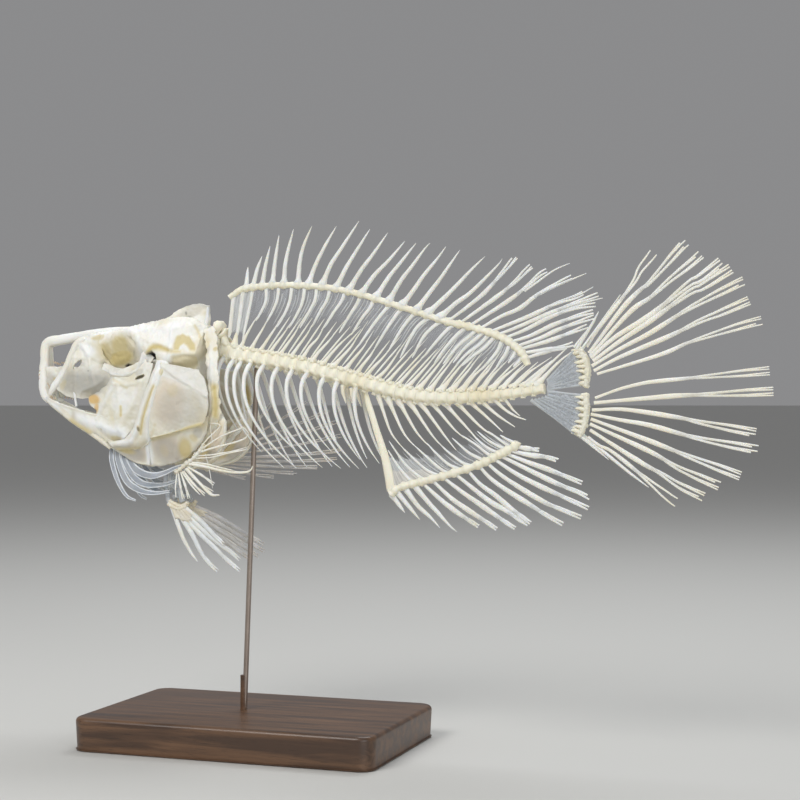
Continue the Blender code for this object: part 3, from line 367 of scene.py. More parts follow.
def bone_surface():
    """Node group: mottled bone colour with random warm stains and a painted warm shade on faces that point
    down, its roughness, and the normal of its fine pitted grain.
    """
    tree, given = new_group(
        "bone surface", "ShaderNodeTree",
        {"Light": "Color", "Deep": "Color", "Warm": "Color", "Mottle": "Float", "Grain": "Float",
         "Relief": "Float"},
        {"Color": "Color", "Roughness": "Float", "Normal": "Vector"})
    where = node(tree, "ShaderNodeTexCoord").outputs["Object"]
    cloud = texture(tree, where, given["Mottle"], 5.0, Roughness=0.62)
    patch = texture(tree, where, maths(tree, "MULTIPLY", given["Mottle"], 0.35), 3.0)
    grain = texture(tree, where, given["Grain"], 4.0, Roughness=0.7)
    colour = blend(tree, ramp(tree, cloud, 0.38, 0.66), given["Light"], given["Deep"])
    normal = node(tree, "ShaderNodeNewGeometry").outputs["Normal"]
    facing = node(tree, "ShaderNodeSeparateXYZ", {0: normal}).outputs["Z"]
    # Painted shade: faces that point down take the warm colour as if in shadow; the random patches of it are
    # stains.
    stain_and_under_shade = maths(tree, "MAXIMUM", ramp(tree, facing, 0.15, -0.9), ramp(tree, patch, 0.50, 0.72))
    colour = blend(tree, maths(tree, "MULTIPLY", stain_and_under_shade, 0.62), colour, given["Warm"])
    node(tree, "NodeGroupOutput", {"Color": colour, "Roughness": ramp(tree, grain, low=0.36, high=0.66),
                                   "Normal": relief(tree, grain, 0.55, given["Relief"])})
    return tree


BONE = bone_surface()


def bone(name, light, deep, stain_and_under_shade, mottle=190.0, grain=1500.0, relief=0.12, glow=0.18, tints=()):
    """A bone finish. tints are (attribute, colour) pairs, laid on where a piece carries that attribute. The
    third colour marks random stains, and is painted as shade on faces that point down.
    """
    finish, tree, shader = new_material(name, Subsurface_Weight=glow, Subsurface_Radius=(1.3, 0.9, 0.55),
                                        Subsurface_Scale=MM, IOR=1.5)
    surface = node(tree, "ShaderNodeGroup", node_tree=BONE)
    for key, value in (("Light", (*light, 1)), ("Deep", (*deep, 1)), ("Warm", (*stain_and_under_shade, 1)),
                       ("Mottle", mottle), ("Grain", grain), ("Relief", relief * MM)):
        surface.inputs[key].default_value = value
    colour = surface.outputs["Color"]
    for attribute, tint in tints:
        share = node(tree, "ShaderNodeAttribute", attribute_name=attribute).outputs["Fac"]
        colour = blend(tree, share, colour, (*tint, 1))
    attach(tree, shader, Base_Color=colour, Roughness=surface.outputs["Roughness"],
           Normal=surface.outputs["Normal"])
    return finish


CREAM = bone("cream bone", (0.93, 0.90, 0.77), (0.90, 0.86, 0.70), (0.79, 0.70, 0.47))
WHITE_CREAM = bone("spine bone", (0.92, 0.91, 0.86), (0.86, 0.84, 0.74), (0.74, 0.67, 0.48), glow=0.22)


def profile(table, places):
    """The values at any places of (place, value) rows joined by straight lines."""
    table = np.array(table, float)
    return np.interp(places, table[:, 0], table[:, 1])


def between(table, place):
    return float(profile(table, place))


def spread(points, count):
    """count points, evenly spaced by length, along a line of points."""
    points = np.array(points, float)
    lengths = np.concatenate([[0], np.cumsum(np.linalg.norm(np.diff(points, axis=0), axis=1))])
    wanted = np.linspace(0, lengths[-1], count)
    return np.stack([np.interp(wanted, lengths, axis) for axis in points.T], axis=1)


def smooth(controls, count):
    """count evenly spaced points on a smooth curve through the control points."""
    knots = np.array(controls, float)
    knots = np.vstack([2 * knots[0] - knots[1], knots, 2 * knots[-1] - knots[-2]])
    dense = []
    for a, b, c, d in zip(knots, knots[1:], knots[2:], knots[3:]):
        for t in np.arange(0, 1, 0.1):
            dense.append(0.5 * (2 * b + (c - a) * t + (2 * a - 5 * b + 4 * c - d) * t ** 2
                                + (3 * b - a - 3 * c + d) * t ** 3))
    return spread([*dense, knots[-2]], count)


COLUMN_LINE = smooth(COLUMN, VERTEBRAE * 4 + 1)


def column(vertebra):
    """(x, z) of the column's middle at a vertebra, counted from 0 and by fractions to the next."""
    place = np.clip(vertebra * 4 + 2, 0, len(COLUMN_LINE) - 1.001)
    return np.array([np.interp(place, range(len(COLUMN_LINE)), COLUMN_LINE[:, k]) for k in (0, 1)])


def step(tree, kind, geometry, sockets=None, **settings):
    """A node that takes geometry and passes it on changed."""
    made = node(tree, "GeometryNode" + kind, {0: geometry, **(sockets or {})}, **settings)
    return made.outputs[0]


def named(tree, name, kind):
    return node(tree, "GeometryNodeInputNamedAttribute", {"Name": name}, data_type=kind).outputs["Attribute"]


def vectors(tree, operation, first, second=None, **sockets):
    sockets = {0: first, **({1: second} if second is not None else {}), **sockets}
    return node(tree, "ShaderNodeVectorMath", sockets, operation=operation).outputs


def strand_tree():
    """Geometry Nodes: draws round or flattened bone along each chain of edges."""
    tree, given = new_group(
        "bone strands", "GeometryNodeTree",
        {"Geometry": "Geometry", "Sides": "Int", "Ripple": "Float", "Ripple Size": "Float",
         "Material": "Material"},
        {"Geometry": "Geometry"})
    place = node(tree, "GeometryNodeInputPosition").outputs[0]
    centre, thin = named(tree, "centre", "FLOAT_VECTOR"), named(tree, "thin", "FLOAT_VECTOR")
    girth, flat = named(tree, "girth", "FLOAT"), named(tree, "flat", "FLOAT")
    lines = step(tree, "MeshToCurve", given["Geometry"])
    lines = step(tree, "StoreNamedAttribute", lines, {"Name": "centre", "Value": place},
                 data_type="FLOAT_VECTOR", domain="POINT")
    lines = step(tree, "SetCurveRadius", lines, {"Radius": girth})
    section = node(tree, "GeometryNodeCurvePrimitiveCircle",
                   {"Resolution": given["Sides"], "Radius": 1.0}).outputs[0]
    drawn = node(tree, "GeometryNodeCurveToMesh", {"Curve": lines, "Profile Curve": section,
                                                   "Fill Caps": True})
    if "Scale" in drawn.inputs:
        tree.links.new(node(tree, "GeometryNodeInputRadius").outputs[0], drawn.inputs["Scale"])
    depth = vectors(tree, "DOT_PRODUCT", vectors(tree, "SUBTRACT", place, centre)[0], thin)["Value"]
    less = maths(tree, "MULTIPLY", maths(tree, "SUBTRACT", 1.0, flat), depth)
    pressed = vectors(tree, "SUBTRACT", place, vectors(tree, "SCALE", thin, Scale=less)[0])[0]
    rough = step(tree, "SetPosition", drawn.outputs[0], {"Position": pressed})
    bumps = texture(tree, place, given["Ripple Size"], 2.0)
    height = maths(tree, "MULTIPLY", maths(tree, "SUBTRACT", bumps, 0.5), given["Ripple"])
    outward = node(tree, "GeometryNodeInputNormal").outputs[0]
    lift = vectors(tree, "SCALE", outward, Scale=maths(tree, "MULTIPLY", height, girth))[0]
    rough = step(tree, "SetPosition", rough, {"Offset": lift})
    for name in ("centre", "thin", "flat", "girth"):
        rough = step(tree, "RemoveAttribute", rough, {"Name": name})
    rough = step(tree, "RealizeInstances", step(tree, "SetShadeSmooth", rough))
    rough = step(tree, "SetMaterial", rough, {"Material": given["Material"]})
    node(tree, "NodeGroupOutput", {0: rough})
    return tree


STRANDS = strand_tree()


def drive(obj, tree, **inputs):
    """Puts a node tree on an object and sets its inputs by their identifiers."""
    modifier = obj.modifiers.new(tree.name, "NODES")
    modifier.node_group = tree
    names = {item.name: item.identifier for item in tree.interface.items_tree if item.in_out == "INPUT"}
    for key, value in inputs.items():
        modifier[names[key.replace("_", " ")]] = value


def strands(name, paths, finish, sides=10, flat=1.0, thin=(0, 1, 0), ripple=0.35, ripple_size=900.0):
    """Bone strands along paths of (x, y, z, girth) points, as one mesh. flat presses them along thin."""
    corners, edges, girths = [], [], []
    for path in paths:
        start = len(corners)
        corners += [fish(*p[:3]) for p in path]
        girths += [p[3] * MM for p in path]
        edges += [(i, i + 1) for i in range(start, len(corners) - 1)]
    mesh = bpy.data.meshes.new(name)
    mesh.from_pydata(corners, edges, [])
    mesh.attributes.new("girth", "FLOAT", "POINT").data.foreach_set("value", girths)
    mesh.attributes.new("flat", "FLOAT", "POINT").data.foreach_set("value", [flat] * len(corners))
    mesh.attributes.new("thin", "FLOAT_VECTOR",
                        "POINT").data.foreach_set("vector", list(thin) * len(corners))
    obj = bpy.data.objects.new(name, mesh)
    scene.collection.objects.link(obj)
    drive(obj, STRANDS, Sides=sides, Ripple=ripple, Ripple_Size=ripple_size, Material=finish)
    return plain(obj)


def joined(name, *objects):
    """Several meshes as one object."""
    first = objects[0]
    with bpy.context.temp_override(active_object=first, object=first,
                                   selected_editable_objects=list(objects),
                                   selected_objects=list(objects)):
        bpy.ops.object.join()
    first.name = name
    first.data.name = name
    return first


def centrum(sides=24, waist=0.62, flare=0.44):
    """One vertebra's body along X, of unit length and unit girth, to be repeated."""
    stations = [(-0.49, 0.80), (-0.49, 0.98), (-0.44, 1.03), (-0.36, 0.97), (-0.24, 0.84), (-0.10, 0.76),
                (0.06, 0.75), (0.22, 0.82), (0.35, 0.95), (0.43, 1.03), (0.49, 0.99), (0.49, 0.80)]
    work = bmesh.new()
    rings = []
    for x, size in stations:
        ring = []
        for k in range(sides):
            angle = 2 * math.pi * k / sides
            strut = max(0.0, math.cos(4 * (angle - math.pi / 8)) ** 3)
            radius = size + (1.0 - size) * waist * strut * (abs(x) < flare)
            ring.append(work.verts.new((x, radius * math.cos(angle), radius * math.sin(angle))))
        rings.append(ring)
    skin(work, rings)
    return from_bmesh("centrum", work, CREAM)


def row_tree():
    """Geometry Nodes: repeats one vertebra body at marked points, turned along the column."""
    tree, given = new_group(
        "row of vertebrae", "GeometryNodeTree",
        {"Geometry": "Geometry", "Body": "Object", "Length": "Float", "Unevenness": "Float",
         "Material": "Material"},
        {"Geometry": "Geometry"})
    points = step(tree, "MeshToPoints", given["Geometry"])
    along, girth = named(tree, "along", "FLOAT_VECTOR"), named(tree, "girth", "FLOAT")
    turn = node(tree, "FunctionNodeAlignRotationToVector", {"Vector": along}, axis="X",
                pivot_axis="Y").outputs[0]
    size = node(tree, "ShaderNodeCombineXYZ", {0: given["Length"], 1: girth, 2: girth}).outputs[0]
    body = node(tree, "GeometryNodeObjectInfo", {"Object": given["Body"]}).outputs["Geometry"]
    row = step(tree, "InstanceOnPoints", points, {"Instance": body, "Rotation": turn, "Scale": size})
    row = step(tree, "RealizeInstances", row)
    bumps = texture(tree, node(tree, "GeometryNodeInputPosition").outputs[0], 620.0, 3.0)
    height = maths(tree, "MULTIPLY", maths(tree, "SUBTRACT", bumps, 0.5), given["Unevenness"])
    outward = node(tree, "GeometryNodeInputNormal").outputs[0]
    row = step(tree, "SetPosition", row, {"Offset": vectors(tree, "SCALE", outward, Scale=height)[0]})
    row = step(tree, "SetMaterial", row, {"Material": given["Material"]})
    node(tree, "NodeGroupOutput", {0: row})
    return tree


ROW = row_tree()


def vertebra_row(name, first, last):
    """The bodies of some vertebrae, placed and turned along the column."""
    body = centrum()
    mesh = bpy.data.meshes.new(name)
    mesh.from_pydata([fish(x, 0, z) for x, z in [column(n) for n in range(first, last)]], [], [])
    along, girth = [], []
    for n in range(first, last):
        step = column(n + 0.5) - column(n - 0.5)
        along += [step[0], 0.0, step[1]]
        girth.append(between(COLUMN_GIRTH, column(n)[0]) * 0.97 * MM)
    mesh.attributes.new("along", "FLOAT_VECTOR", "POINT").data.foreach_set("vector", along)
    mesh.attributes.new("girth", "FLOAT", "POINT").data.foreach_set("value", girth)
    obj = bpy.data.objects.new(name, mesh)
    scene.collection.objects.link(obj)
    drive(obj, ROW, Body=body, Length=PITCH * MM, Unevenness=0.5 * MM, Material=CREAM)
    return plain(obj, body)


def knobs(first, last):
    """The paired processes above and below each joint between vertebrae, and the side struts."""
    paths = []
    for n in range(first, last):
        girth = between(COLUMN_GIRTH, column(n)[0])
        ahead = (column(n + 0.5) - column(n - 0.5)) / PITCH
        up = np.array([-ahead[1], ahead[0]])
        for y in (-0.42 * girth, 0.42 * girth):
            for start, end, high, low, size in ((-1.8, -0.3, 1.02, 0.78, 0.34),
                                                (1.1, 2.4, 0.86, 1.10, 0.30)):
                a = column(n) + ahead * start + up * girth * high
                b = column(n) + ahead * end + up * girth * low
                middle = (a + b) / 2
                paths.append([(a[0], y, a[1], 0.14 * size * girth), (middle[0], y, middle[1], size * girth),
                              (b[0], y, b[1], 0.3 * size * girth)])
            a = column(n) + ahead * 1.3 - up * girth * 0.80
            b = column(n) + ahead * 2.3 - up * girth * 1.02
            paths.append([(a[0], y, a[1], 0.30 * girth), (b[0], y, b[1], 0.12 * girth)])
    return paths


SPINE_GIRTH = [(0.0, 1.75), (0.10, 1.35), (0.20, 0.88), (0.34, 0.62), (0.62, 0.46), (1.0, 0.16)]


def along(way, girths, count=16, y=0.0, y_tip=None, reach=1.0):
    """A path on a smooth curve through (x, z) waypoints, as far as reach of its length."""
    line = smooth(way, 40)
    line = spread(line[:max(3, round(reach * 40))], count)
    ends = (y, y if y_tip is None else y_tip)
    return [(x, y_now, z, between(girths, share))
            for (x, z), y_now, share in zip(line, np.linspace(*ends, count), np.linspace(0, 1, count))]


TRUNK_END = column(TRUNK - 0.5)[0]


def first_arches():
    """The stout neural arches behind the skull, and the stubs below the first three vertebrae."""
    x, z = column(0)
    paths = []
    for y in (-0.8, 0.8):
        paths.append([(x, y, z, 1.5), (x - 0.3, y * 1.3, 22.4, 1.5), (x - 0.5, y * 1.8, 24.6, 1.0),
                      (x + 0.1, y * 1.8, 26.6, 1.9), (x + 0.7, y * 1.2, 28.2, 2.0), (x + 0.9, y, 29.4, 1.0)])
    for y in (-1.2, 1.2):
        paths.append([(x + 0.2, y, 23.2, 1.0), (x + 2.6, y, 24.6, 0.9), (x + 3.6, y * 0.6, 26.6, 0.6)])
    x, z = column(1)
    paths.append([(x, 0, z, 1.9), (-69.4, 0, 21.6, 1.7), (-69.8, 0, 24.6, 1.1), (-70.0, 0, 27.6, 0.6)])
    x, z = column(2)
    paths.append([(x, 0, z + 1, 1.9), (-65.2, 0, 20.6, 1.4), (-64.2, 0, 25.0, 0.5)])
    for x, z in [column(n) for n in range(3)]:
        for y in (-1.6, 1.6):
            paths.append([(x, y, z - 1.0, 1.3), (x + 0.4, y * 1.5, z - 3.2, 1.0),
                          (x + 1.0, y * 1.6, z - 4.6, 0.4)])
    return paths


def threads():
    """Dried threads half way between neural spines, and one past the tip of each spine."""
    paths = []
    for spine, following in zip(NEURAL[2:-3], NEURAL[3:-2]):
        foot, tip = ((np.array(spine[k]) + following[k]) / 2 for k in (0, -1))
        line = [foot + (tip - foot) * t + (0.4, 0.0) for t in np.linspace(0.16, 1.2, 10)]
        girths = np.interp(range(10), [0, 2, 6, 9], [0.12, 0.36, 0.34, 0.10])
        paths.append([(x, 0.25, z, g) for (x, z), g in zip(line, girths)])
        last = np.array(spine[-1])
        ahead = last - spine[-2]
        paths.append([(*np.insert(last + ahead * (t - 0.3), 1, -0.2), 0.3 * (1 - t / 2))
                      for t in np.linspace(0, 1.6, 8)])
    return paths


def add_backbone():
    between_spines = threads()
    before = [way for way in NEURAL if way[0][0] < TRUNK_END]
    after = [way for way in NEURAL + HAEMAL if way[0][0] > TRUNK_END]
    trunk = [vertebra_row("trunk_centra", 0, TRUNK), strands("knobs", knobs(0, TRUNK), CREAM, sides=8),
             strands("arches", first_arches(), CREAM, sides=12, ripple=0.9),
             strands("neural", [along(way, SPINE_GIRTH) for way in before], WHITE_CREAM, flat=0.62),
             strands("between", [path for path in between_spines if path[0][0] < TRUNK_END], WHITE_CREAM,
                     sides=8, flat=0.6)]
    show(joined("trunk_vertebrae", *trunk), "cream_bone", "backbone_trunk")
    rear_spines = [along(way, SPINE_GIRTH) for way in after]
    rear_spines += [path for path in between_spines if path[0][0] > TRUNK_END]
    tail = [vertebra_row("tail_centra", TRUNK, VERTEBRAE),
            strands("knobs", knobs(TRUNK, VERTEBRAE - 1), CREAM, sides=8),
            strands("spines", rear_spines, WHITE_CREAM, flat=0.62)]
    show(joined("tail_vertebrae", *tail), "cream_bone", "backbone_tail")


add_backbone()

# --- Ribs -------------------------------------------------------------------------------------
# Eleven slim ribs on each side, hooked onto the lower edge of the trunk column. They bow out
# round the belly and sweep back to fine free points.

SIDES = (("left", -1), ("right", 1))
WHITE = bone("white bone", (0.90, 0.91, 0.90), (0.80, 0.81, 0.78), (0.74, 0.70, 0.56), glow=0.25)
# Place of the root on the column, sweep back, drop, and spread outwards
RIBS = [(-68.2, 7.0, 28.0, 7.6), (-64.3, 12.4, 34.6, 9.4), (-61.2, 18.2, 39.6, 10.0),
        (-57.4, 19.3, 39.0, 10.0), (-52.1, 15.8, 33.5, 9.8), (-46.5, 18.4, 37.0, 9.6),
        (-40.8, 19.8, 36.2, 9.2), (-34.9, 10.2, 28.8, 8.8), (-28.5, 14.3, 33.3, 7.6),
        (-23.2, 9.2, 28.6, 6.0), (-16.0, 9.2, 28.1, 3.6)]
RIB_BULGE = smooth([(0.0, 0.0), (0.15, 0.72), (0.40, 1.0), (0.70, 0.80), (1.0, 0.30)], 60)
RIB_GIRTH = [(0.0, 0.55), (0.04, 0.95), (0.12, 0.80), (0.45, 0.62), (0.80, 0.42), (1.0, 0.10)]


def rib(side, root, sweep, drop, bow):
    """A rib's path, from its root on the side of the column round the belly to its free point."""
    girth = between(COLUMN_GIRTH, root)
    top = between(COLUMN_LINE, root) - 1.4
    return [(root + sweep * share ** 2.2, side * (girth * 0.62 + bow * between(RIB_BULGE, share)),
             top - drop * share, between(RIB_GIRTH, share)) for share in np.linspace(0, 1, 26) ** 1.15]


def rib_head(side, x):
    """The short process that carries a rib, out and back from the side of its vertebra."""
    girth, z = between(COLUMN_GIRTH, x), between(COLUMN_LINE, x)
    return [(x - 1.4, side * girth * 0.55, z - 0.5, 0.7), (x - 0.3, side * girth * 0.80, z - 1.2, 0.95),
            (x + 0.5, side * girth * 0.95, z - 2.0, 0.7)]


def rib_stub(side, x, z, tip):
    """A short blunt process where the last ribs have ended."""
    return [(x, side * 1.6, z, 0.9), (x + 0.6, side * 2.8, z - 2.6, 0.7), (x + 1.9, side * 3.2, tip, 0.15)]


for side_name, side in SIDES:
    heads = strands("heads", [rib_head(side, each[0]) for each in RIBS], CREAM, sides=10)
    stubs = strands("stubs", [rib_stub(side, -21.5, 5.2, -1.2), rib_stub(side, -17.9, 4.1, -2.4)],
                    WHITE_CREAM)
    cage = strands("cage", [rib(side, *each) for each in RIBS], WHITE, sides=12, ripple=0.25)
    show(joined(f"rib_cage_{side_name}", heads, stubs, cage), "ivory_bone", f"ribs_{side_name}")

# --- Dorsal fin -------------------------------------------------------------------------------
# A knobbly bar of ray-bearer heads carries 17 stiff pointed spines and then 12 soft rays that
# split at their ends. Slim bearers run down between the neural spines, webbed with thin bone.

DORSAL_BAR = [(-67.0, 38.2), (-64.2, 40.1), (-60.5, 41.5), (-46.8, 42.4), (-31.0, 41.5), (-17.3, 38.9),
              (0.0, 33.7), (17.0, 28.2), (28.1, 25.5), (38.4, 21.9), (45.0, 16.9), (47.5, 12.3)]
DORSAL_LINE = smooth(DORSAL_BAR, 81)
DORSAL_SPINES, DORSAL_SPLIT = 17, 17.35
# Spines and rays from foot to tip, and the bearers from the bar down
DORSAL_FIN = [
    [(-60.4, 41.6), (-59.7, 49.4)], [(-57.7, 41.8), (-56, 48.2), (-54, 53.3)],
    [(-54, 42), (-52.8, 48.8), (-50.8, 56.9)], [(-49.9, 42.2), (-48.8, 51), (-47.2, 60.9)],
    [(-45.3, 42.3), (-44.4, 51.6), (-41.4, 62.9)],
    [(-39.7, 42), (-38.9, 50.7), (-37.3, 56.9), (-34.1, 63.8)],
    [(-35.7, 41.8), (-32.9, 49.1), (-29, 56.3), (-24.5, 63.4)],
    [(-30.3, 41.4), (-27, 48.9), (-22, 56.1), (-15.7, 65)],
    [(-24.9, 40.3), (-20.8, 48), (-16.5, 54.5), (-11.5, 61.9)],
    [(-19.9, 39.4), (-15.4, 46.5), (-10.3, 52.8), (-4.6, 60.4)],
    [(-15.1, 38.2), (-10, 44.9), (-3.8, 50.9), (1.9, 57.2)],
    [(-9.6, 36.6), (-4.2, 44.4), (0.4, 49.7), (6.1, 56.3)],
    [(-4.5, 35), (0, 42.5), (4.9, 48.5), (9.3, 54.1), (11.4, 56.2)],
    [(0.4, 33.6), (4.9, 39.1), (9.1, 44.8), (14, 50.4), (17.4, 54.8)],
    [(5.9, 31.8), (10.2, 37.2), (15.1, 43.2), (19.2, 48.8), (22.6, 53.4)],
    [(9.9, 30.5), (15.5, 35.4), (20.7, 40.2), (26.3, 45.8), (31.8, 50.8)],
    [(14.5, 29), (21.1, 34.5), (26.7, 38.3), (36.2, 47.3), (38.2, 49.9)],
    [(18.1, 28.1), (25.2, 33), (31.1, 37.5), (36.2, 42.7), (43.9, 51.3)],
    [(22, 27), (35.5, 36), (42.4, 41.2), (46.4, 45), (49.7, 47.7)],
    [(25.7, 26.1), (40.3, 34.9), (47.2, 40), (51.9, 44.1), (55.4, 45.8)],
    [(29.5, 25), (37.3, 29.3), (44.6, 32.3), (51.9, 37.5), (64.4, 43.5)],
    [(33.3, 24), (48.2, 29.5), (57.2, 33.5), (64.4, 35.8), (68.3, 37.8)],
    [(35.8, 22.8), (44.6, 26), (53.7, 29.7), (62.6, 33.1), (73.9, 37)],
    [(38.6, 21.7), (46.4, 24.6), (54.7, 28.7), (64.4, 32), (72.9, 33.2)],
    [(40.6, 20.3), (48.2, 22.5), (57.2, 26.5), (66.2, 29.5), (73.2, 31.2)],
    [(42.7, 18.7), (51.9, 21.7), (59, 24.8), (67.9, 27.8), (72.2, 29.1)],
    [(43.9, 17.7), (53.7, 20.3), (60.8, 22.7), (69.7, 26)],
    [(45.2, 16.5), (55.4, 17.8), (61.2, 18.8), (64.4, 19.8)], [(46.3, 14.5), (53.7, 16.8), (61.9, 18.6)]]
DORSAL_BEARERS = [
    [(-52.4, 42.2), (-52.4, 37), (-54, 33.3), (-56.5, 29.3)],
    [(-47.2, 42.4), (-48, 36.9), (-50, 32.5), (-52.4, 28.5)],
    [(-42, 42.3), (-42.8, 36.8), (-44.8, 32.1), (-48, 26.9)],
    [(-36.9, 42.1), (-37.7, 36.7), (-39.6, 32.3), (-43.2, 26.5)],
    [(-32.1, 41.6), (-32.9, 36.6), (-35.3, 32.3), (-38.9, 26.4)],
    [(-27, 41), (-28.2, 36.5), (-31, 32.2), (-34.1, 26.8)],
    [(-21.2, 39.9), (-22.3, 36.4), (-25.5, 32.1), (-29.4, 26.3)],
    [(-15, 38.1), (-16.5, 34.9), (-20, 29.8), (-23.5, 24.4)],
    [(-10, 36.5), (-11.5, 33.3), (-14.6, 29.7), (-18.8, 23.6)],
    [(-3.4, 34.7), (-5.3, 32.9), (-10, 27.5), (-16.5, 18.9)],
    [(1.1, 33.2), (-1.1, 31), (-5.3, 25.3), (-10, 18.1)],
    [(6.8, 31.2), (4.6, 30.2), (0.4, 25.2), (-4.6, 17.3)],
    [(11.7, 29.6), (9.8, 28.7), (5.7, 25.1), (0, 15.1)],
    [(16.6, 28.3), (14, 27.2), (9.1, 22.9), (4.6, 15.1)],
    [(21.1, 27.2), (18.1, 25.3), (13.6, 20.7), (8.7, 15.1)],
    [(25.5, 26.2), (22.2, 23.8), (17.7, 19.3), (12.9, 13.2)],
    [(28.9, 25.3), (26.7, 23.1), (21.8, 19.2), (16.2, 12.8)],
    [(31.5, 24.4), (28.9, 22), (24.4, 18.5), (20, 13.2)],
    [(33.7, 23.7), (30, 19.8), (25.5, 16.7), (21.1, 12.5)],
    [(35.9, 22.9), (31.5, 18.4), (27.4, 15.6), (23.3, 12.1)],
    [(38.4, 21.9), (36.6, 17.7), (33.7, 14.1), (30, 10.3)],
    [(41, 20.1), (39.5, 16.6), (37.3, 13.4), (35.5, 10.6)],
    [(43.5, 18.1), (42.1, 15.5), (40.3, 13)], [(45.7, 15.7), (44.3, 13.7), (42.1, 11.6)]]
# The three bearers ahead of the others: their places from the bar down, and their girths
FRONT_BEARERS = [
    ([(-65.4, 39.4), (-66.0, 34.8), (-66.5, 30.0), (-67.0, 25.5), (-67.4, 23.2)],
     [0.95, 0.8, 0.85, 0.8, 0.3]),
    ([(-61.6, 41.2), (-62.2, 36.4), (-63.0, 31.0), (-63.8, 26.0), (-64.4, 22.6)],
     [0.9, 0.75, 0.8, 0.7, 0.3]),
    ([(-57.6, 41.8), (-58.6, 36.4), (-59.8, 31.0), (-61.0, 26.0), (-62.0, 21.6)], [0.8, 0.6, 0.6, 0.5, 0.2])]
# Further ends of the soft rays that split wide: number of the ray, and where they end
DORSAL_ENDS = {19: [(62.5, 47.6)], 20: [(68.4, 44.0)], 21: [(70.8, 39.2)], 22: [(74.2, 35.3)]}
HARD = [(0.0, 1.9), (0.04, 1.75), (0.085, 1.15), (0.13, 0.90), (0.35, 0.80), (0.70, 0.58), (0.93, 0.26),
        (1.0, 0.06)]


def veil_bone(name, colour, least, most, fade=1.0):
    """Dried skin and thin bone: streaks that run down its "lane" and thin out with its "fall"."""
    finish, tree, shader = new_material(name, Roughness=0.5)
    lane, fall = (node(tree, "ShaderNodeAttribute", attribute_name=key).outputs["Fac"]
                  for key in ("lane", "fall"))
    drawn = stretched(tree, node(tree, "ShaderNodeCombineXYZ", {0: lane, 1: fall}).outputs[0],
                      (7.0, 1.6, 1.0))
    streak = texture(tree, drawn, 1.0, 5.0, Roughness=0.62)
    cover = ramp(tree, streak, 0.40, 0.66, least, most)
    late = ramp(tree, fall, 0.05, 1.0, 1.0, 1.0 - fade)
    dark, light = (tuple(min(1, c * strength) for c in colour) for strength in (0.7, 1.3))
    attach(tree, shader, Base_Color=blend(tree, streak, (*dark, 1), (*light, 1)),
           Alpha=maths(tree, "MULTIPLY", cover, late))
    return finish


VEIL = veil_bone("thin bone", (0.46, 0.48, 0.51), 0.0, 0.72)
MILK = veil_bone("milky bone", (0.66, 0.68, 0.68), 0.35, 0.90, 0.45)
RIB_GREY = bone("grey splinter bone", (0.60, 0.62, 0.64), (0.48, 0.50, 0.52), (0.50, 0.49, 0.44))


def knobbly(line, feet, girth, knob, step=0.5, y=0.0):
    """A bar that swells at each foot of a spine or ray."""
    length = np.linalg.norm(np.diff(line, axis=0), axis=1).sum()
    path = []
    for x, z in spread(line, max(8, int(length / step))):
        near = min(math.hypot(x - a, z - b) for a, b in feet)
        path.append((x, y, z, girth + knob * math.exp(-(near / 0.9) ** 2)))
    return path


def sideways(line):
    """Steps of unit length across a line of (x, z) points."""
    ahead = np.gradient(line, axis=0)
    ahead /= np.linalg.norm(ahead, axis=1)[:, None]
    return np.stack([-ahead[:, 1], ahead[:, 0]], axis=1)


def soft_ray(way, width, ends=4, split=0.56, fan=2.6, chance=None, tips=(), y=0.0, y_tip=0.0, lap=0.08):
    """A soft ray along (x, z) waypoints: a stem that widens, then splits in finer and finer ends."""
    line = smooth(way, 30)
    aside = sideways(line)
    shares = np.linspace(0, 1, 30)
    depth = y + (y_tip - y) * shares
    girths = width * np.interp(shares, [0, 0.06, split * 0.8, split + lap], [0.62, 0.55, 0.92, 0.60])
    paths = [[(x, d, z, g) for (x, z), d, g, s in zip(line, depth, girths, shares) if s <= split + lap]]
    finer = width * (4 / (ends + 2)) ** 0.3
    for k in range(ends):
        lane = k / (ends - 1) - 0.5 if ends > 1 else 0.0
        half = 0.31 if lane > 0 else -0.31
        stop = 1.0 - chance.uniform(0.0, 0.04)
        path = []
        for (x, z), d, (ax, az), s in zip(line, depth, aside, shares):
            if split - lap / 2 <= s <= stop:
                first = max(0.0, (s - split) / (1 - split))
                late = max(0.0, (s - split - 0.2) / (0.8 - split))
                off = fan * (half * min(1, first * 1.6) ** 0.8 + (lane - half) * late ** 1.2)
                girth = np.interp(s, [split, split + 0.12, 0.9, 1.0], [0.52, 0.52, 0.38, 0.20])
                path.append((x + ax * off, d + 0.22 * (k % 2 - 0.5), z + az * off, girth * finer))
        paths.append(path)
    for tip in tips:
        away = np.array(tip) - line[-1]
        girths = width * np.interp(shares, [split, 0.9, 1], [0.5, 0.3, 0.12])
        paths.append([(x + away[0] * s ** 3, 0.1, z + away[1] * s ** 3, g)
                      for (x, z), s, g in zip(line, shares, girths) if s >= split])
    return paths


def quads(work, grid):
    """Faces between the neighbouring rows of a grid of corners."""
    for first, second in zip(grid, grid[1:]):
        for k in range(len(first) - 1):
            work.faces.new((first[k], first[k + 1], second[k + 1], second[k]))


def thickened(obj, thickness):
    """A sheet made solid, half its thickness to each side."""
    shell = obj.modifiers.new("thickness", "SOLIDIFY")
    shell.thickness = thickness * MM
    shell.offset = 0.0
    return plain(obj)


def along_path(path, place):
    """The first three values of a path at a place counted in its points, by fractions."""
    return np.array([np.interp(place, range(len(path)), path[:, k]) for k in range(3)])


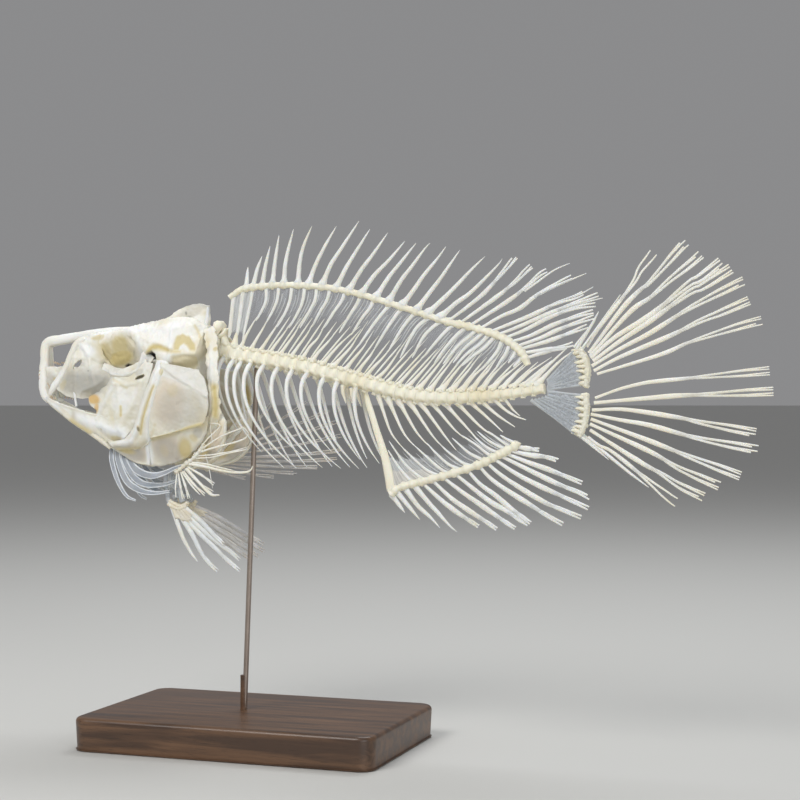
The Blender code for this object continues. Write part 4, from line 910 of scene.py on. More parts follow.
def webs(name, lines, finish, reach=0.42, thickness=0.16, scallop=0.5, across=7, down=9):
    """Thin bone between neighbouring paths, with a hollowed lower edge, as closed thin sheets."""
    work = bmesh.new()
    lane, fall = work.verts.layers.float.new("lane"), work.verts.layers.float.new("fall")
    lines = [np.array([point[:3] for point in line], float) for line in lines]
    for number, (a, b) in enumerate(zip(lines, lines[1:])):
        grid = []
        for u in np.linspace(0, 1, across):
            rail = []
            for v in np.linspace(0, reach * (1 - scallop * math.sin(math.pi * u)), down):
                start, end = along_path(a, v * (len(a) - 1)), along_path(b, v * (len(b) - 1))
                corner = work.verts.new(fish(*(start * (1 - u) + end * u)))
                corner[lane], corner[fall] = number + u, v
                rail.append(corner)
            grid.append(rail)
        quads(work, grid)
    return thickened(from_bmesh(name, work, finish), thickness)


def hairs(lines, chance, most=2):
    """Fine splinters of bone that run down between neighbouring bearers."""
    paths = []
    lines = [np.array(line, float) for line in lines]
    for a, b in zip(lines, lines[1:]):
        for k in range(most):
            u = (k + chance.uniform(0.7, 1.3)) / (most + 1)
            start, stop = chance.uniform(0.0, 0.3), chance.uniform(0.55, 1.0)
            path = []
            for v in np.linspace(start, stop, 9):
                x, _, z = along_path(a, v * (len(a) - 1)) * (1 - u) + along_path(b, v * (len(b) - 1)) * u
                middle = abs(2 * (v - start) / (stop - start) - 0.7)
                path.append((x, 0.0, z, 0.24 * (1 - middle ** 2 * 0.5)))
            paths.append(path)
    return paths


def show_extra(obj):
    """A piece with no CAD solid of its own, carried by its neighbours."""
    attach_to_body(obj, "root")


def front_bearer(tops, girths):
    """A long slim bearer ahead of the first neural spine, from (x, z) places."""
    return [(x, 0, z, g) for (x, z), g in zip(tops, girths)]


def add_dorsal_fin():
    chance = random.Random(11)
    slim = [(0.0, 1.05), (0.08, 0.74), (0.5, 0.60), (0.9, 0.42), (1.0, 0.15)]
    bearers = [along(way, slim) for way in DORSAL_BEARERS]
    front = [front_bearer(*each) for each in FRONT_BEARERS]
    hard = [along(way, HARD, 20) for way in DORSAL_FIN[:DORSAL_SPINES]]
    soft = []
    for k, way in enumerate(DORSAL_FIN[DORSAL_SPINES:], DORSAL_SPINES):
        wide = k < 19
        soft += soft_ray(way, width=0.92, ends=3 if wide else 2, split=0.60, fan=1.8 if wide else 1.4,
                         chance=chance, tips=DORSAL_ENDS.get(k, ()))
    feet = [way[0] for way in DORSAL_FIN]
    line, place = DORSAL_LINE, DORSAL_LINE[:, 0]
    for name, node_name, bar, up, down in (
            ("dorsal_spines", "dorsal_fin_spines", line[place < DORSAL_SPLIT + 1.2], hard, front),
            ("dorsal_rays", "dorsal_fin_rays", line[place > DORSAL_SPLIT], soft, [])):
        rods_down = [b for b in bearers if (b[0][0] < DORSAL_SPLIT) == (up is hard)]
        pieces = [strands("bar", [knobbly(bar, feet, 1.12, 0.50)], CREAM, sides=14, ripple=0.7,
                          ripple_size=1100.0),
                  strands("up", up, WHITE, sides=10, flat=0.75),
                  strands("down", rods_down + down, WHITE, sides=10, flat=0.6),
                  strands("hairs", hairs(rods_down, chance), RIB_GREY, sides=6, flat=0.7)]
        show(joined(name, *pieces), "pale_bone", node_name)
    show_extra(webs("dorsal_webs", front[2:] + bearers, VEIL, reach=0.97, scallop=0.25))
    show_extra(webs("front_bearer_webs", front, MILK, reach=0.9, scallop=0.12))


add_dorsal_fin()

# --- Anal fin ---------------------------------------------------------------------------------
# Like the dorsal fin but hung below: a stout first bearer reaches up to the column, and short
# pointed spines at the front give way to broad, flat, split rays.

ANAL_BAR = [(-3.4, -34.0), (0.0, -31.5), (7.6, -29.4), (18.8, -26.4), (30.0, -22.7), (37.3, -19.1),
            (42.8, -16.2), (43.9, -14.8)]
ANAL_LINE = smooth(ANAL_BAR, 61)
ANAL_FIN = [
    [(-3.4, -34), (1.9, -40.6)], [(-1.6, -32.6), (3.8, -38.8), (7.6, -43)],
    [(1.5, -31.1), (6.8, -38), (11.4, -41.9), (15.1, -45.7)],
    [(4.9, -30.1), (10.6, -36.5), (15.1, -41.1), (18.8, -44.9), (21.5, -47)],
    [(8, -29.3), (15.1, -35.4), (20.7, -39.5), (26.3, -43), (30.3, -45.3)],
    [(12.1, -28.6), (18.8, -34.6), (24.4, -38.4), (34.4, -44.5), (37, -46.2)],
    [(16, -27.4), (23.3, -32.7), (29.2, -36.5), (39.2, -43), (43.9, -45.7)],
    [(20.2, -25.9), (32.9, -35.4), (39.2, -38.8), (44.6, -42.2), (48.6, -44.2)],
    [(24.9, -24.4), (30, -29.8), (35.5, -33.6), (41, -38), (49.3, -43.8)],
    [(29.1, -22.9), (35.5, -29), (48.2, -36.8), (54.7, -40.6), (61.2, -43.9)],
    [(32, -21.8), (39.2, -27.5), (51.9, -35), (59, -38), (67.9, -41.3)],
    [(34.7, -20.5), (42.8, -25.7), (50.1, -29.4), (57.2, -32.5), (70.4, -38.1)],
    [(37.1, -19.5), (53.7, -27.3), (60.8, -30.3), (66.2, -32.3), (70.8, -34.7)],
    [(38.8, -18.6), (48.2, -22.1), (55.4, -24.5), (62.6, -27.2), (67.9, -29.2)],
    [(40.2, -17.7), (48.2, -19.3), (53.7, -19.9), (59, -21.3)],
    [(42.6, -16.3), (48.2, -17.2), (51.9, -17.5)]]
ANAL_BEARERS = [
    [(4.9, -29.9), (0.4, -25.2), (-2.3, -21.6), (-4.6, -18)],
    [(9.8, -28.9), (7.2, -27.3), (1.9, -23), (-4.2, -14.8)],
    [(15.5, -27.4), (10.2, -25.1), (4.9, -20.8), (0.4, -16.6)],
    [(19.6, -26.2), (15.9, -25), (10.6, -20.8), (5.7, -16.5)],
    [(23.3, -25), (18.1, -22.8), (13.2, -18.6), (10.2, -15.4)],
    [(27.8, -23.6), (23.7, -22.4), (18.1, -18.5), (15.1, -15.7)],
    [(31.8, -21.9), (29.6, -20.6), (25.5, -18.5), (19.6, -13.5)],
    [(35.1, -20.4), (31.8, -18.4), (29.2, -16.3), (22.9, -12.4)],
    [(37.7, -18.8), (35.9, -18.4), (31.8, -16.3), (27, -12.1)],
    [(39.9, -17.5), (36.6, -16.2), (32.9, -14.2), (28.9, -11)],
    [(42.1, -16.5), (40.6, -16.2), (37.3, -14.1), (32.9, -11)], [(43.5, -15.2), (41, -14.4), (37.3, -12.4)]]
FIRST_BEARER = [(-13.6, 4.2, 0.7), (-12.3, -0.7, 1.1), (-11.1, -4.3, 1.2), (-9, -10.9, 1.25),
                (-6.5, -18.1, 1.45), (-4.6, -25.3, 1.7), (-3.4, -32.8, 1.6)]

WEB = veil_bone("pale web", (0.74, 0.72, 0.68), 0.55, 1.0, 0.35)


def add_anal_fin(thorns=4, broad=9):
    """The first rays are pointed thorns; those before number broad split later than the rest."""
    chance = random.Random(7)
    slim = [(0.0, 0.95), (0.08, 0.64), (0.5, 0.48), (0.9, 0.30), (1.0, 0.10)]
    bearers = [along(way, slim) for way in ANAL_BEARERS]
    first = [(x, 0.0, z, g) for x, z, g in smooth(FIRST_BEARER, 24)]
    thorn = [(0, 1.1), (0.05, 1.2), (0.25, 0.9), (0.6, 0.78), (0.9, 0.34), (1, 0.06)]
    rays = [along(way, thorn, 18) for way in ANAL_FIN[:thorns]]
    for k, way in enumerate(ANAL_FIN[thorns:], thorns):
        rays += soft_ray(way, width=1.12, ends=2, split=0.74 if k < broad else 0.66, fan=1.2, chance=chance)
    feet = [way[0] for way in ANAL_FIN]
    pieces = [strands("bar", [knobbly(ANAL_LINE, feet, 1.22, 0.55)], CREAM, sides=14, ripple=0.7,
                      ripple_size=1100.0),
              strands("first", [first], CREAM, sides=16, flat=0.5),
              strands("rays", rays, WHITE, sides=10, flat=0.6),
              strands("bearers", bearers, WHITE, sides=10, flat=0.6),
              strands("hairs", hairs(bearers, chance, 1), RIB_GREY, sides=6, flat=0.7)]
    show(joined("anal_fin_bones", *pieces), "pale_bone", "anal_fin")
    tilted = [first[::-1][:16]] + bearers
    show_extra(webs("anal_webs", tilted[:6], MILK, reach=0.80, scallop=0.25))
    show_extra(webs("anal_corner_webs", tilted[:4], WEB, reach=0.40, thickness=0.3, scallop=0.2))
    show_extra(webs("anal_webs_rear", bearers[2:], VEIL, reach=0.9, scallop=0.3))


add_anal_fin()

# --- Tail -------------------------------------------------------------------------------------
# Two fans of thin grey plates end the backbone. A knobbly cream band of ray bases sits on each,
# and the curved rays grow from it, widest half way and split in four towards their tips.

TAIL_PLATES = (
    ("upper", [(54.4, 3.7), (54.9, 5.2), (54.6, 6.6)],
     [(66.4, 5.2), (66.9, 9.4), (66.4, 13.2), (63.9, 16.9)]),
    ("lower", [(54.6, 3.0), (54.4, 1.4), (52.0, 0.6), (48.6, 0.0)],
     [(66.4, 1.6), (66.5, -3.2), (65.9, -7.7), (64.3, -11.6)]))
PLATE_RIMS = {name: rim for name, _, rim in TAIL_PLATES}
TAIL_BANDS = {"upper": [(65.9, 17.8), (68.3, 14.0), (69.0, 9.6), (68.2, 5.0)],
              "lower": [(68.3, 1.7), (68.5, -3.4), (67.8, -8.2), (66.2, -12.4)]}
UPPER_RAYS = [
    [(68.6, 18.4), (73.2, 25.3), (84.4, 39.6), (87.2, 44.7), (90.7, 49), (92.7, 51.7)],
    [(69.3, 16.3), (80.9, 31.4), (87.2, 37.8), (90.7, 40.5), (101.6, 52.5), (104.7, 54.8)],
    [(69.7, 15.3), (83.7, 30.3), (90.7, 35.1), (97.5, 41), (104.4, 46.3), (109.5, 50.6)],
    [(70, 14.6), (78.5, 21.7), (90.7, 29.1), (104.4, 39.8), (107.8, 41.4), (116.5, 48)],
    [(70.8, 13.5), (80.2, 20.3), (90.7, 27.1), (104.4, 36.7), (107.8, 38), (119.9, 45.5)],
    [(70.4, 11.8), (80.2, 17.6), (90.7, 23), (104.4, 31.3), (121.2, 39.6), (124.5, 40.7)],
    [(71.1, 10.1), (80.2, 14.8), (97.5, 21.9), (107.8, 26.8), (114.5, 29.4), (126.2, 34.3)],
    [(72.2, 9), (90.7, 14.4), (97.5, 16.7), (104.4, 19.7), (121.2, 24.9), (130.5, 27.2)]]
LOWER_RAYS = [
    [(71.5, 0.7), (80.2, 3.8), (87.2, 5.5), (94.1, 6.5), (133.2, 10)],
    [(71.1, -1), (90.7, 0.7), (101, 1.5), (114.5, 2), (134.5, 3)],
    [(70.4, -3.5), (82, -3.3), (101, -6.1), (107.8, -7.6), (128.5, -11.4)],
    [(70, -4.9), (80.2, -6.9), (90.7, -8.7), (107.8, -13.2), (129.2, -17.1)],
    [(70, -6.6), (90.7, -14.1), (101, -18.1), (104.4, -19.4), (123.2, -26.3)],
    [(69.7, -8.3), (87.2, -16.1), (94.1, -19.5), (101, -23.5), (115.9, -29.8)],
    [(69.7, -10.4), (87.2, -21.3), (94.1, -25), (101, -29.3), (110.5, -33.6)],
    [(69, -12.8), (73.2, -15.9), (78.5, -18.6), (97.5, -33.5), (101, -35.1)]]

RAY = bone("ray bone", (0.91, 0.91, 0.88), (0.86, 0.82, 0.69), (0.76, 0.69, 0.50), mottle=60.0, glow=0.22)
FOG = bone("grey bone", (0.52, 0.55, 0.58), (0.42, 0.45, 0.47), (0.46, 0.46, 0.42))


def hazy_bone(colour=(0.50, 0.53, 0.57), least=0.16, most=0.80):
    """Bone so thin that what is behind it shows through, in streaks."""
    finish, tree, shader = new_material("hazy bone", Roughness=0.45)
    where = node(tree, "ShaderNodeTexCoord").outputs["Object"]
    drawn = stretched(tree, where, (900, 300, 900), (0, math.radians(38), 0))
    streak = texture(tree, drawn, 1.0, 4.0)
    pale = tuple(min(1, c * 1.15) for c in colour)
    attach(tree, shader, Base_Color=blend(tree, streak, (*colour, 1), (*pale, 1)),
           Alpha=ramp(tree, streak, 0.30, 0.72, least, most))
    return finish


def fan_sheet(name, root, rim, finish, thickness=0.5, columns=26, rows=34):
    """A thin plate between a short root edge and a long rim, with fine folds along its rays."""
    work = bmesh.new()
    grid = []
    for r, (a, b) in enumerate(zip(smooth(root, rows), smooth(rim, rows))):
        rail = []
        for u in np.linspace(0, 1, columns):
            x, z = a * (1 - u) + b * u
            fold = 0.16 * math.sin(r * 1.35) * u + 0.25 * noise.noise(Vector((x * 0.6, 3.1, z * 0.6)))
            rail.append(work.verts.new(fish(x, fold, z)))
        grid.append(rail)
    quads(work, grid)
    return thickened(from_bmesh(name, work, finish), thickness)


def folds(root, rim, count, stations):
    """Thin ridges across a fan plate; a station is (share of the way, y, girth)."""
    return [[((a + (b - a) * t)[0], y, (a + (b - a) * t)[1], g) for t, y, g in stations]
            for a, b in zip(smooth(root, count), smooth(rim, count))]


def root_stubs(name, band, chance, count=15):
    """Short lumpy ray roots that lean across the band from the fan plate, by turns on either side."""
    rims = spread(PLATE_RIMS[name][::-1 if name == "upper" else 1], count)
    stubs = []
    for k, ((x, z), rim) in enumerate(zip(spread(band, count), rims)):
        slip, lift, stout = chance.uniform(-1.3, 0.3), chance.uniform(-0.5, 0.5), chance.uniform(0.75, 1.25)
        y, end = 0.9 * (-1) ** k, np.array((x, z)) * 1.5 - rim * 0.5
        stubs.append([(rim[0] - 1.2 + slip, 0.2, rim[1] + lift, 0.25),
                      (rim[0] + slip / 2, y * 0.6, rim[1] + lift, 0.66 * stout), (x, y, z, 1.0),
                      (end[0] + slip / 2, y, end[1] - lift, 0.5 * stout)])
    return stubs


# Slim unbranched rays at the outer edge of each lobe
SLIM_RAYS = {
    "upper": [[(65.2, -1.2, 17.6, 0.6), (68.6, -2.4, 22.4, 0.62), (71.8, -3.4, 27.2, 0.45),
               (73.6, -4.0, 30.4, 0.15)],
              [(66.4, 0.9, 17.4, 0.6), (70.6, 1.2, 23.0, 0.6), (75.0, 1.6, 29.2, 0.5),
               (80.0, 1.8, 36.4, 0.2)],
              [(64.0, 0.4, 18.2, 0.6), (67.4, 0.8, 22.6, 0.5), (70.2, 1.0, 26.6, 0.15)]],
    "lower": [[(66.2, 0.6, -11.6, 0.7), (74.4, 0.8, -18.0, 0.62), (84.0, 0.9, -25.6, 0.5),
               (90.0, 0.9, -30.0, 0.15)],
              [(65.6, -0.5, -11.8, 0.7), (71.0, -0.6, -16.2, 0.5), (76.4, -0.6, -20.6, 0.12)]]}
# Rays of each lobe that split in two only, and rays that are stouter and spread wider
TWO_ENDS, STOUT_RAYS = {"upper": (0,), "lower": (7,)}, {"upper": (3, 4), "lower": ()}


def add_tail_plate(name, root, rim):
    ribs = folds(root, rim, 7, ((0.0, 0.0, 0.75), (0.5, 0.1, 0.42), (1.0, 0.0, 0.55)))
    ribs += folds(root, rim, 17, ((0.25, 0.15, 0.12), (0.7, 0.2, 0.22), (1.0, 0.15, 0.26)))
    fan = joined(f"tail_fan_{name}", fan_sheet("fan", root, rim, HAZE),
                 strands("folds", ribs, FOG, flat=0.7))
    show(fan, "pale_bone", f"tail_plate_{name}")


def add_tail_lobe(name, rays, chance):
    paths = []
    for k, way in enumerate(rays):
        wide, stout = 1.02 if 0 < k < 7 else 0.85, k in STOUT_RAYS[name]
        paths += soft_ray(way, width=wide * (1.12 if stout else 1.0), ends=2 if k in TWO_ENDS[name] else 4,
                          split=0.52, fan=3.4 if stout else 2.9, chance=chance)
    band = smooth(TAIL_BANDS[name], 24)
    bands = [knobbly(band + (0, 0.25 * y), [way[0] for way in rays], 0.95, 0.45, y=y) for y in (-0.85, 0.85)]
    stubs = root_stubs(name, band, chance)
    pieces = [strands("band", bands, CREAM, sides=14, ripple=0.9, ripple_size=800.0),
              strands("stubs", stubs, CREAM, sides=10, ripple=0.9, ripple_size=800.0),
              strands("rays", paths, RAY, sides=10, flat=0.55, ripple=0.2),
              strands("slim", SLIM_RAYS[name], WHITE, sides=10)]
    show(joined(f"tail_rays_{name}", *pieces), "cream_bone", f"caudal_fin_{name}")


HAZE = hazy_bone()
for name, root, rim in TAIL_PLATES:
    add_tail_plate(name, root, rim)
tail_chance = random.Random(5)
add_tail_lobe("upper", UPPER_RAYS, tail_chance)
add_tail_lobe("lower", LOWER_RAYS, tail_chance)

# --- Skull ------------------------------------------------------------------------------------
# One thin-walled, knobbly box of bone from the snout to the neck, hollowed at each side for the
# eyes, with thin ochre windows at the temples and a tall thin crest over the neck.

# Rings of the box: its place, the heights of roof, side and foot, and the half widths of the three
SKULL_STATIONS = [
    (-128.6, 24.4, 19.8, 13.6, 2.4, 4.2, 2.0), (-119.0, 26.0, 21.6, 11.4, 3.8, 6.4, 2.4),
    (-109.0, 27.0, 24.7, 10.6, 5.2, 8.8, 2.6), (-104.0, 28.4, 25.0, 10.4, 5.8, 10.0, 3.2),
    (-96.0, 29.4, 20.0, 8.0, 6.4, 12.6, 6.4), (-88.0, 30.4, 17.6, 4.6, 6.4, 14.2, 9.0),
    (-81.0, 30.2, 16.8, 5.4, 5.6, 14.0, 9.0), (-75.3, 27.2, 17.6, 8.4, 4.0, 11.4, 6.4)]
# The hollow of the eye: its middle, and its half lengths
ORBIT = (-107.6, 9.4, 18.4, 8.0, 1.0, 6.4)
HEAD_WIDTH = smooth([(-148, 4.0), (-142, 5.5), (-132, 8.5), (-115, 12.5), (-100, 15.5), (-85, 17.5),
                     (-70, 17.0)], 80)
HEAD_TAPER = smooth([(-34, 0.35), (-22, 0.62), (-12, 0.88), (-2, 1.0), (8, 0.97), (20, 0.80), (30, 0.60)],
                    80)


def head_side(inset=0.0):
    """A function giving the head's half width, less an inset, at places (x, z)."""
    return lambda x, z: profile(HEAD_WIDTH, x) * profile(HEAD_TAPER, z) - inset


def near_line(x, z, line):
    """Distance of places (x, z) from a line of points."""
    spots = np.stack([x, z], axis=-1)
    best = np.full(x.shape, 1e9)
    line = np.array(line, float)
    for a, b in zip(line, line[1:]):
        ab = b - a
        t = np.clip(((spots - a) @ ab) / (ab @ ab), 0, 1)
        best = np.minimum(best, np.linalg.norm(spots - a - t[..., None] * ab, axis=-1))
    return best


def in_oval(x, z, oval):
    """How far inside an oval (x, z, half length, half height, turn in degrees): 1 in its middle, 0 on
    its edge."""
    cx, cz, a, b, turn = oval
    c, s = math.cos(math.radians(turn)), math.sin(math.radians(turn))
    along, across = (x - cx) * c + (z - cz) * s, -(x - cx) * s + (z - cz) * c
    return 1 - np.sqrt((along / a) ** 2 + (across / b) ** 2)


def in_patch(x, z, corners):
    """How far inside a closed outline places (x, z) are, negative outside."""
    ring, inside = [*corners, corners[0]], np.zeros(x.shape, bool)
    for (ax, az), (bx, bz) in zip(ring, ring[1:]):
        inside ^= ((az > z) != (bz > z)) & (x < (bx - ax) * (z - az) / (bz - az + 1e-9) + ax)
    return np.where(inside, 1, -1) * near_line(x, z, ring)


def painted(x, z, marks, soft_edge=0.55):
    """The strength, 0 to 1, of marks: ('oval', oval, strength), ('patch', corners, edge width, strength)
    or ('line', points, width, strength)."""
    total = np.zeros(x.shape)
    for kind, shape, *width, strength in marks:
        if kind == "oval":
            share = np.clip(in_oval(x, z, shape) / soft_edge, 0, 1)
            cover = share * share * (3 - 2 * share)
        elif kind == "patch":
            cover = np.clip(in_patch(x, z, shape) / width[0] + 0.5, 0, 1)
        else:
            cover = np.exp(-(near_line(x, z, shape) / width[0]) ** 2)
        total = np.maximum(total, strength * cover)
    return total


def roughened(x, z, size, seed):
    """Smooth random heights, -1 to 1, over places (x, z)."""
    flat = [noise.noise(Vector((a * size, seed, b * size))) for a, b in zip(x.ravel(), z.ravel())]
    return np.array(flat).reshape(x.shape)


# The near-black tint is painted shade, laid in holes and pits and on the bone seen through them.
TINTS = (("peach", (0.76, 0.68, 0.56)), ("grey", (0.40, 0.395, 0.36)), ("milk", (0.92, 0.93, 0.92)),
         ("ochre", (0.66, 0.55, 0.25)), ("amber", (0.74, 0.52, 0.24)), ("dusk", (0.02, 0.018, 0.015)))
HEAD = bone("head bone", (0.90, 0.89, 0.83), (0.83, 0.81, 0.72), (0.70, 0.61, 0.38), mottle=230.0,
            relief=0.16, tints=TINTS)


def from_grid(name, places, finish, closed=False, marks=None, hole=None):
    """A surface through a grid of places in fish axes, with painted marks; faces in hole are left out."""
    rows, columns = places.shape[:2]
    work = bmesh.new()
    for key in marks:
        work.verts.layers.float.new(key)
    corners = [work.verts.new(fish(*p)) for p in places.reshape(-1, 3)]
    for key, values in marks.items():
        layer = work.verts.layers.float[key]
        for corner, value in zip(corners, values.ravel()):
            corner[layer] = float(value)
    for r in range(rows - 1):
        for c in range(columns if closed else columns - 1):
            d = (c + 1) % columns
            if hole is None or hole[r:r + 2, [c, d]].sum() < 3:
                here, above = r * columns, (r + 1) * columns
                work.faces.new([corners[k] for k in (here + c, here + d, above + d, above + c)])
    if closed:
        for start in (0, (rows - 1) * columns):
            work.faces.new(corners[start:start + columns])
    bmesh.ops.delete(work, geom=[v for v in work.verts if not v.link_faces], context="VERTS")
    if hole is not None:
        rim = [v for v in work.verts if v.is_boundary]
        for _ in range(3):
            bmesh.ops.smooth_vert(work, verts=rim, factor=0.5, use_axis_x=True, use_axis_y=True,
                                  use_axis_z=True)
    return from_bmesh(name, work, finish)


def raised(x, z, ridges):
    """The height of ridges, each a (line, width, lift), over places (x, z)."""
    return sum((lift * np.exp(-(near_line(x, z, line) / width) ** 2) for line, width, lift in ridges),
               0.0 * x)


def panel(name, side, edges, depth, finish, rows=56, columns=40, thickness=0.6, ridges=(), marks=None,
          holes=(), ragged=0.3, bumps=0.16, seed=1.0):
    """A thin curved plate of bone between two edges of (x, z) points on one side of the head."""
    first, second = smooth(edges[0], rows), smooth(edges[1], rows)
    u = np.linspace(0, 1, columns)[None, :, None]
    flat = first[:, None, :] * (1 - u) + second[:, None, :] * u
    x, z = flat[..., 0], flat[..., 1]
    rim = np.minimum(np.minimum(u[..., 0], 1 - u[..., 0]) * 4, 1) * np.ones((rows, 1))
    ends = np.minimum(np.minimum(np.arange(rows), np.arange(rows)[::-1]) / rows * 4, 1)[:, None]
    edge = 1 - np.minimum(rim, ends)
    x = x + ragged * edge * roughened(x, z, 0.55, seed)
    z = z + ragged * edge * roughened(x, z, 0.55, seed + 7)
    height = bumps * (roughened(x, z, 0.35, seed + 3) + 0.5 * roughened(x, z, 0.9, seed + 5))
    height = height + raised(x, z, ridges)
    hole = np.zeros(x.shape, bool)
    for oval in holes:
        hole |= in_oval(x, z, oval) > 0
    places = np.stack([x, side * (depth(x, z) + height), z], axis=-1)
    strengths = {key: painted(x, z, (marks or {}).get(key, ())) for key, _ in TINTS}
    return thickened(from_grid(name, places, finish, marks=strengths, hole=hole if holes else None),
                     thickness)


# The eye socket, the slit below it, the hole behind it, and the three thin windows at the temple
SOCKET = [(-113.4, 20.7), (-111.1, 23.7), (-107.6, 24.4), (-103.8, 23.2), (-101.0, 20.5), (-100.3, 16.4),
          (-101.0, 13.4), (-105.0, 12.1), (-109.7, 12.7), (-113.3, 15.8)]
SLIT = [(-104.4, 12.9), (-102.9, 13.8), (-101.2, 13.3), (-101.3, 12.2), (-103.1, 11.8)]
EAR_HOLE = [(-94.9, 15.5), (-94.4, 17.4), (-92.8, 18.1), (-90.9, 17.0), (-90.1, 15.0), (-92.8, 14.9)]
WINDOWS = [
    [(-94.9, 17.6), (-93.8, 19.8), (-91.8, 20.8), (-89.2, 20.6), (-86.4, 19.7), (-83.8, 18.5), (-80.1, 18.1),
     (-80.1, 17.4), (-83.6, 17.4), (-87.1, 17.9), (-89.7, 18.6), (-92.3, 18.5), (-93.9, 17.3)],
    [(-83.5, 20.6), (-82.9, 23.4), (-80.3, 24.5), (-77.3, 23.3), (-74.8, 20.5), (-74.4, 18.3), (-76.5, 18.1),
     (-78.0, 20.0), (-79.5, 20.8), (-80.7, 19.9), (-81.1, 18.2), (-83.0, 18.4)],
    [(-83.7, 16.0), (-78.4, 16.7), (-72.7, 15.9), (-72.7, 12.4), (-74.1, 11.0), (-78.1, 11.2),
     (-83.1, 13.0)]]
# Raised lines on the sides of the box: (line, width, lift)
SKULL_RIDGES = (([(-103, 25.6), (-96, 22.4), (-90, 21.6), (-84.4, 19.4)], 1.0, 0.5),
                ([(-98, 26.4), (-90, 27.0), (-82, 27.2)], 1.2, 0.7),
                ([(-84.8, 25.4), (-84.6, 17.6), (-84.8, 10.0)], 0.8, 0.55),
                ([(-82.6, 17.4), (-72.9, 17.0)], 0.7, 0.6))
SKULL_MARKS = {"ochre": [("patch", SOCKET, 6.5, 0.62), ("oval", (-107.4, 20.6, 6.0, 5.2, -20), 0.8),
                         ("oval", (-106.6, 16.0, 8.4, 4.6, 8), 0.95),
                         ("oval", (-114.0, 18.0, 4.6, 5.4, 0), 0.7),
                         ("oval", (-116.7, 23.8, 2.6, 1.5, 3), 0.55), ("patch", WINDOWS[0], 1.3, 1.0),
                         ("patch", WINDOWS[1], 0.8, 0.85), ("patch", WINDOWS[2], 1.0, 0.55),
                         ("line", [(-75.8, 27.6), (-73.8, 24.6), (-72.4, 22.0)], 0.6, 0.6),
                         ("oval", (-86.0, 10.2, 2.2, 2.4, 0), 0.4)],
               "milk": [("line", [(-128, 23), (-118, 25.8), (-106, 27.7)], 2.0, 1.0),
                        ("line", [(-106, 27), (-98, 27.0), (-90, 25.4), (-84, 27.5)], 3.0, 0.9),
                        ("line", [(-85.0, 24.6), (-85.2, 16.0), (-87.4, 12.0)], 2.0, 0.8),
                        ("line", [(-99.2, 24), (-98.2, 19), (-96.4, 16.0)], 1.5, 0.8),
                        ("line", [(-80.7, 18.4), (-79.4, 20.0), (-77.0, 18.4)], 1.0, 0.7)],
               "grey": [("line", [(-113.4, 19.6), (-112.0, 15.0), (-109.0, 13.0)], 1.1, 0.45),
                        ("oval", (-100.5, 17.4, 0.9, 1.5, 0), 0.8),
                        ("line", [(-100.2, 22.0), (-99.8, 15.0)], 0.7, 0.35),
                        ("oval", (-108.4, 14.0, 2.2, 1.2, 10), 0.35),
                        ("patch", [(-95.0, 15.2), (-90.0, 15.0), (-90.2, 12.8), (-94.6, 12.6)], 1.0, 0.6),
                        ("line", [(-72.6, 20.0), (-72.8, 14.4)], 0.9, 0.45)],
               # Painted shade: near black in the ear hole, in the slit under the eye, and behind the cheek's
               # slit.
               "dusk": [("patch", EAR_HOLE, 0.5, 1.0), ("patch", SLIT, 0.6, 1.0),
                        ("oval", (-98.0, 8.6, 3.4, 1.6, 0), 0.8)]}


def crest():
    """The tall thin crest over the neck."""
    marks = {
        "milk": [("oval", (-80.0, 29.0, 7.0, 3.6, 10), 0.6)],
        "grey": [("line", [(-84.6, 35.9), (-80.4, 36.3), (-76.0, 35.6)], 1.6, 0.5),
                 ("oval", (-83.4, 31.0, 1.5, 1.1, 0), 0.7), ("oval", (-83.0, 32.6, 7.0, 3.0, 20), 0.3)],
        "ochre": [("line", [(-76.6, 32.4), (-76.0, 28.0)], 1.2, 0.3)],
        # Painted shade in a small pit of the crest.
        "dusk": [("oval", (-84.8, 32.6, 0.6, 0.9, 10), 0.5)]}
    return panel("crest", 1, ([(-99.0, 27.6), (-92.0, 27.2), (-84.0, 27.0), (-75.4, 27.0)],
                              [(-99.0, 28.4), (-92.6, 31.2), (-86.6, 34.6), (-80.6, 36.0), (-75.5, 35.4)]),
                 lambda x, z: 0.0 * x, HEAD, rows=76, columns=40, thickness=1.0, ragged=0.3, bumps=0.25,
                 ridges=[([(-76.2, 27.6), (-76.0, 34.6)], 0.8, 0.5)], marks=marks)


def neck_ridges():
    """The stout rear edge of the crest, and a ridge on each side of the neck."""
    return strands("rear", [[(-77.0, 0, 27.4, 1.1), (-76.2, 0, 31.0, 0.8), (-76.0, 0, 34.8, 0.45)]]
                   + [[(-96.0, s * 5.4, 27.2, 0.6), (-88.0, s * 5.4, 27.6, 1.1), (-80.0, s * 4.8, 27.6, 1.2),
                       (-75.6, s * 3.6, 25.8, 0.9), (-73.8, s * 3.2, 24.0, 0.3)] for s in (-1, 1)], WHITE,
                   sides=12, ripple=0.8, ripple_size=700.0)


def skull_rings(stations=210, around=150):
    """The box before its relief: rings of places round it, from the snout to the neck."""
    rings = []
    for x, roof, side, foot, roof_wide, side_wide, foot_wide in smooth(SKULL_STATIONS, stations):
        half = smooth([(0.0, roof), (roof_wide, roof - 0.6), (side_wide, side),
                       ((side_wide + foot_wide) / 2, (side + foot) / 2), (foot_wide, foot),
                       (0.0, foot - 0.3)], around // 2 + 1)
        rings.append([(x, y, z) for y, z in half] + [(x, -y, z) for y, z in half[-2:0:-1]])
    return np.array(rings)


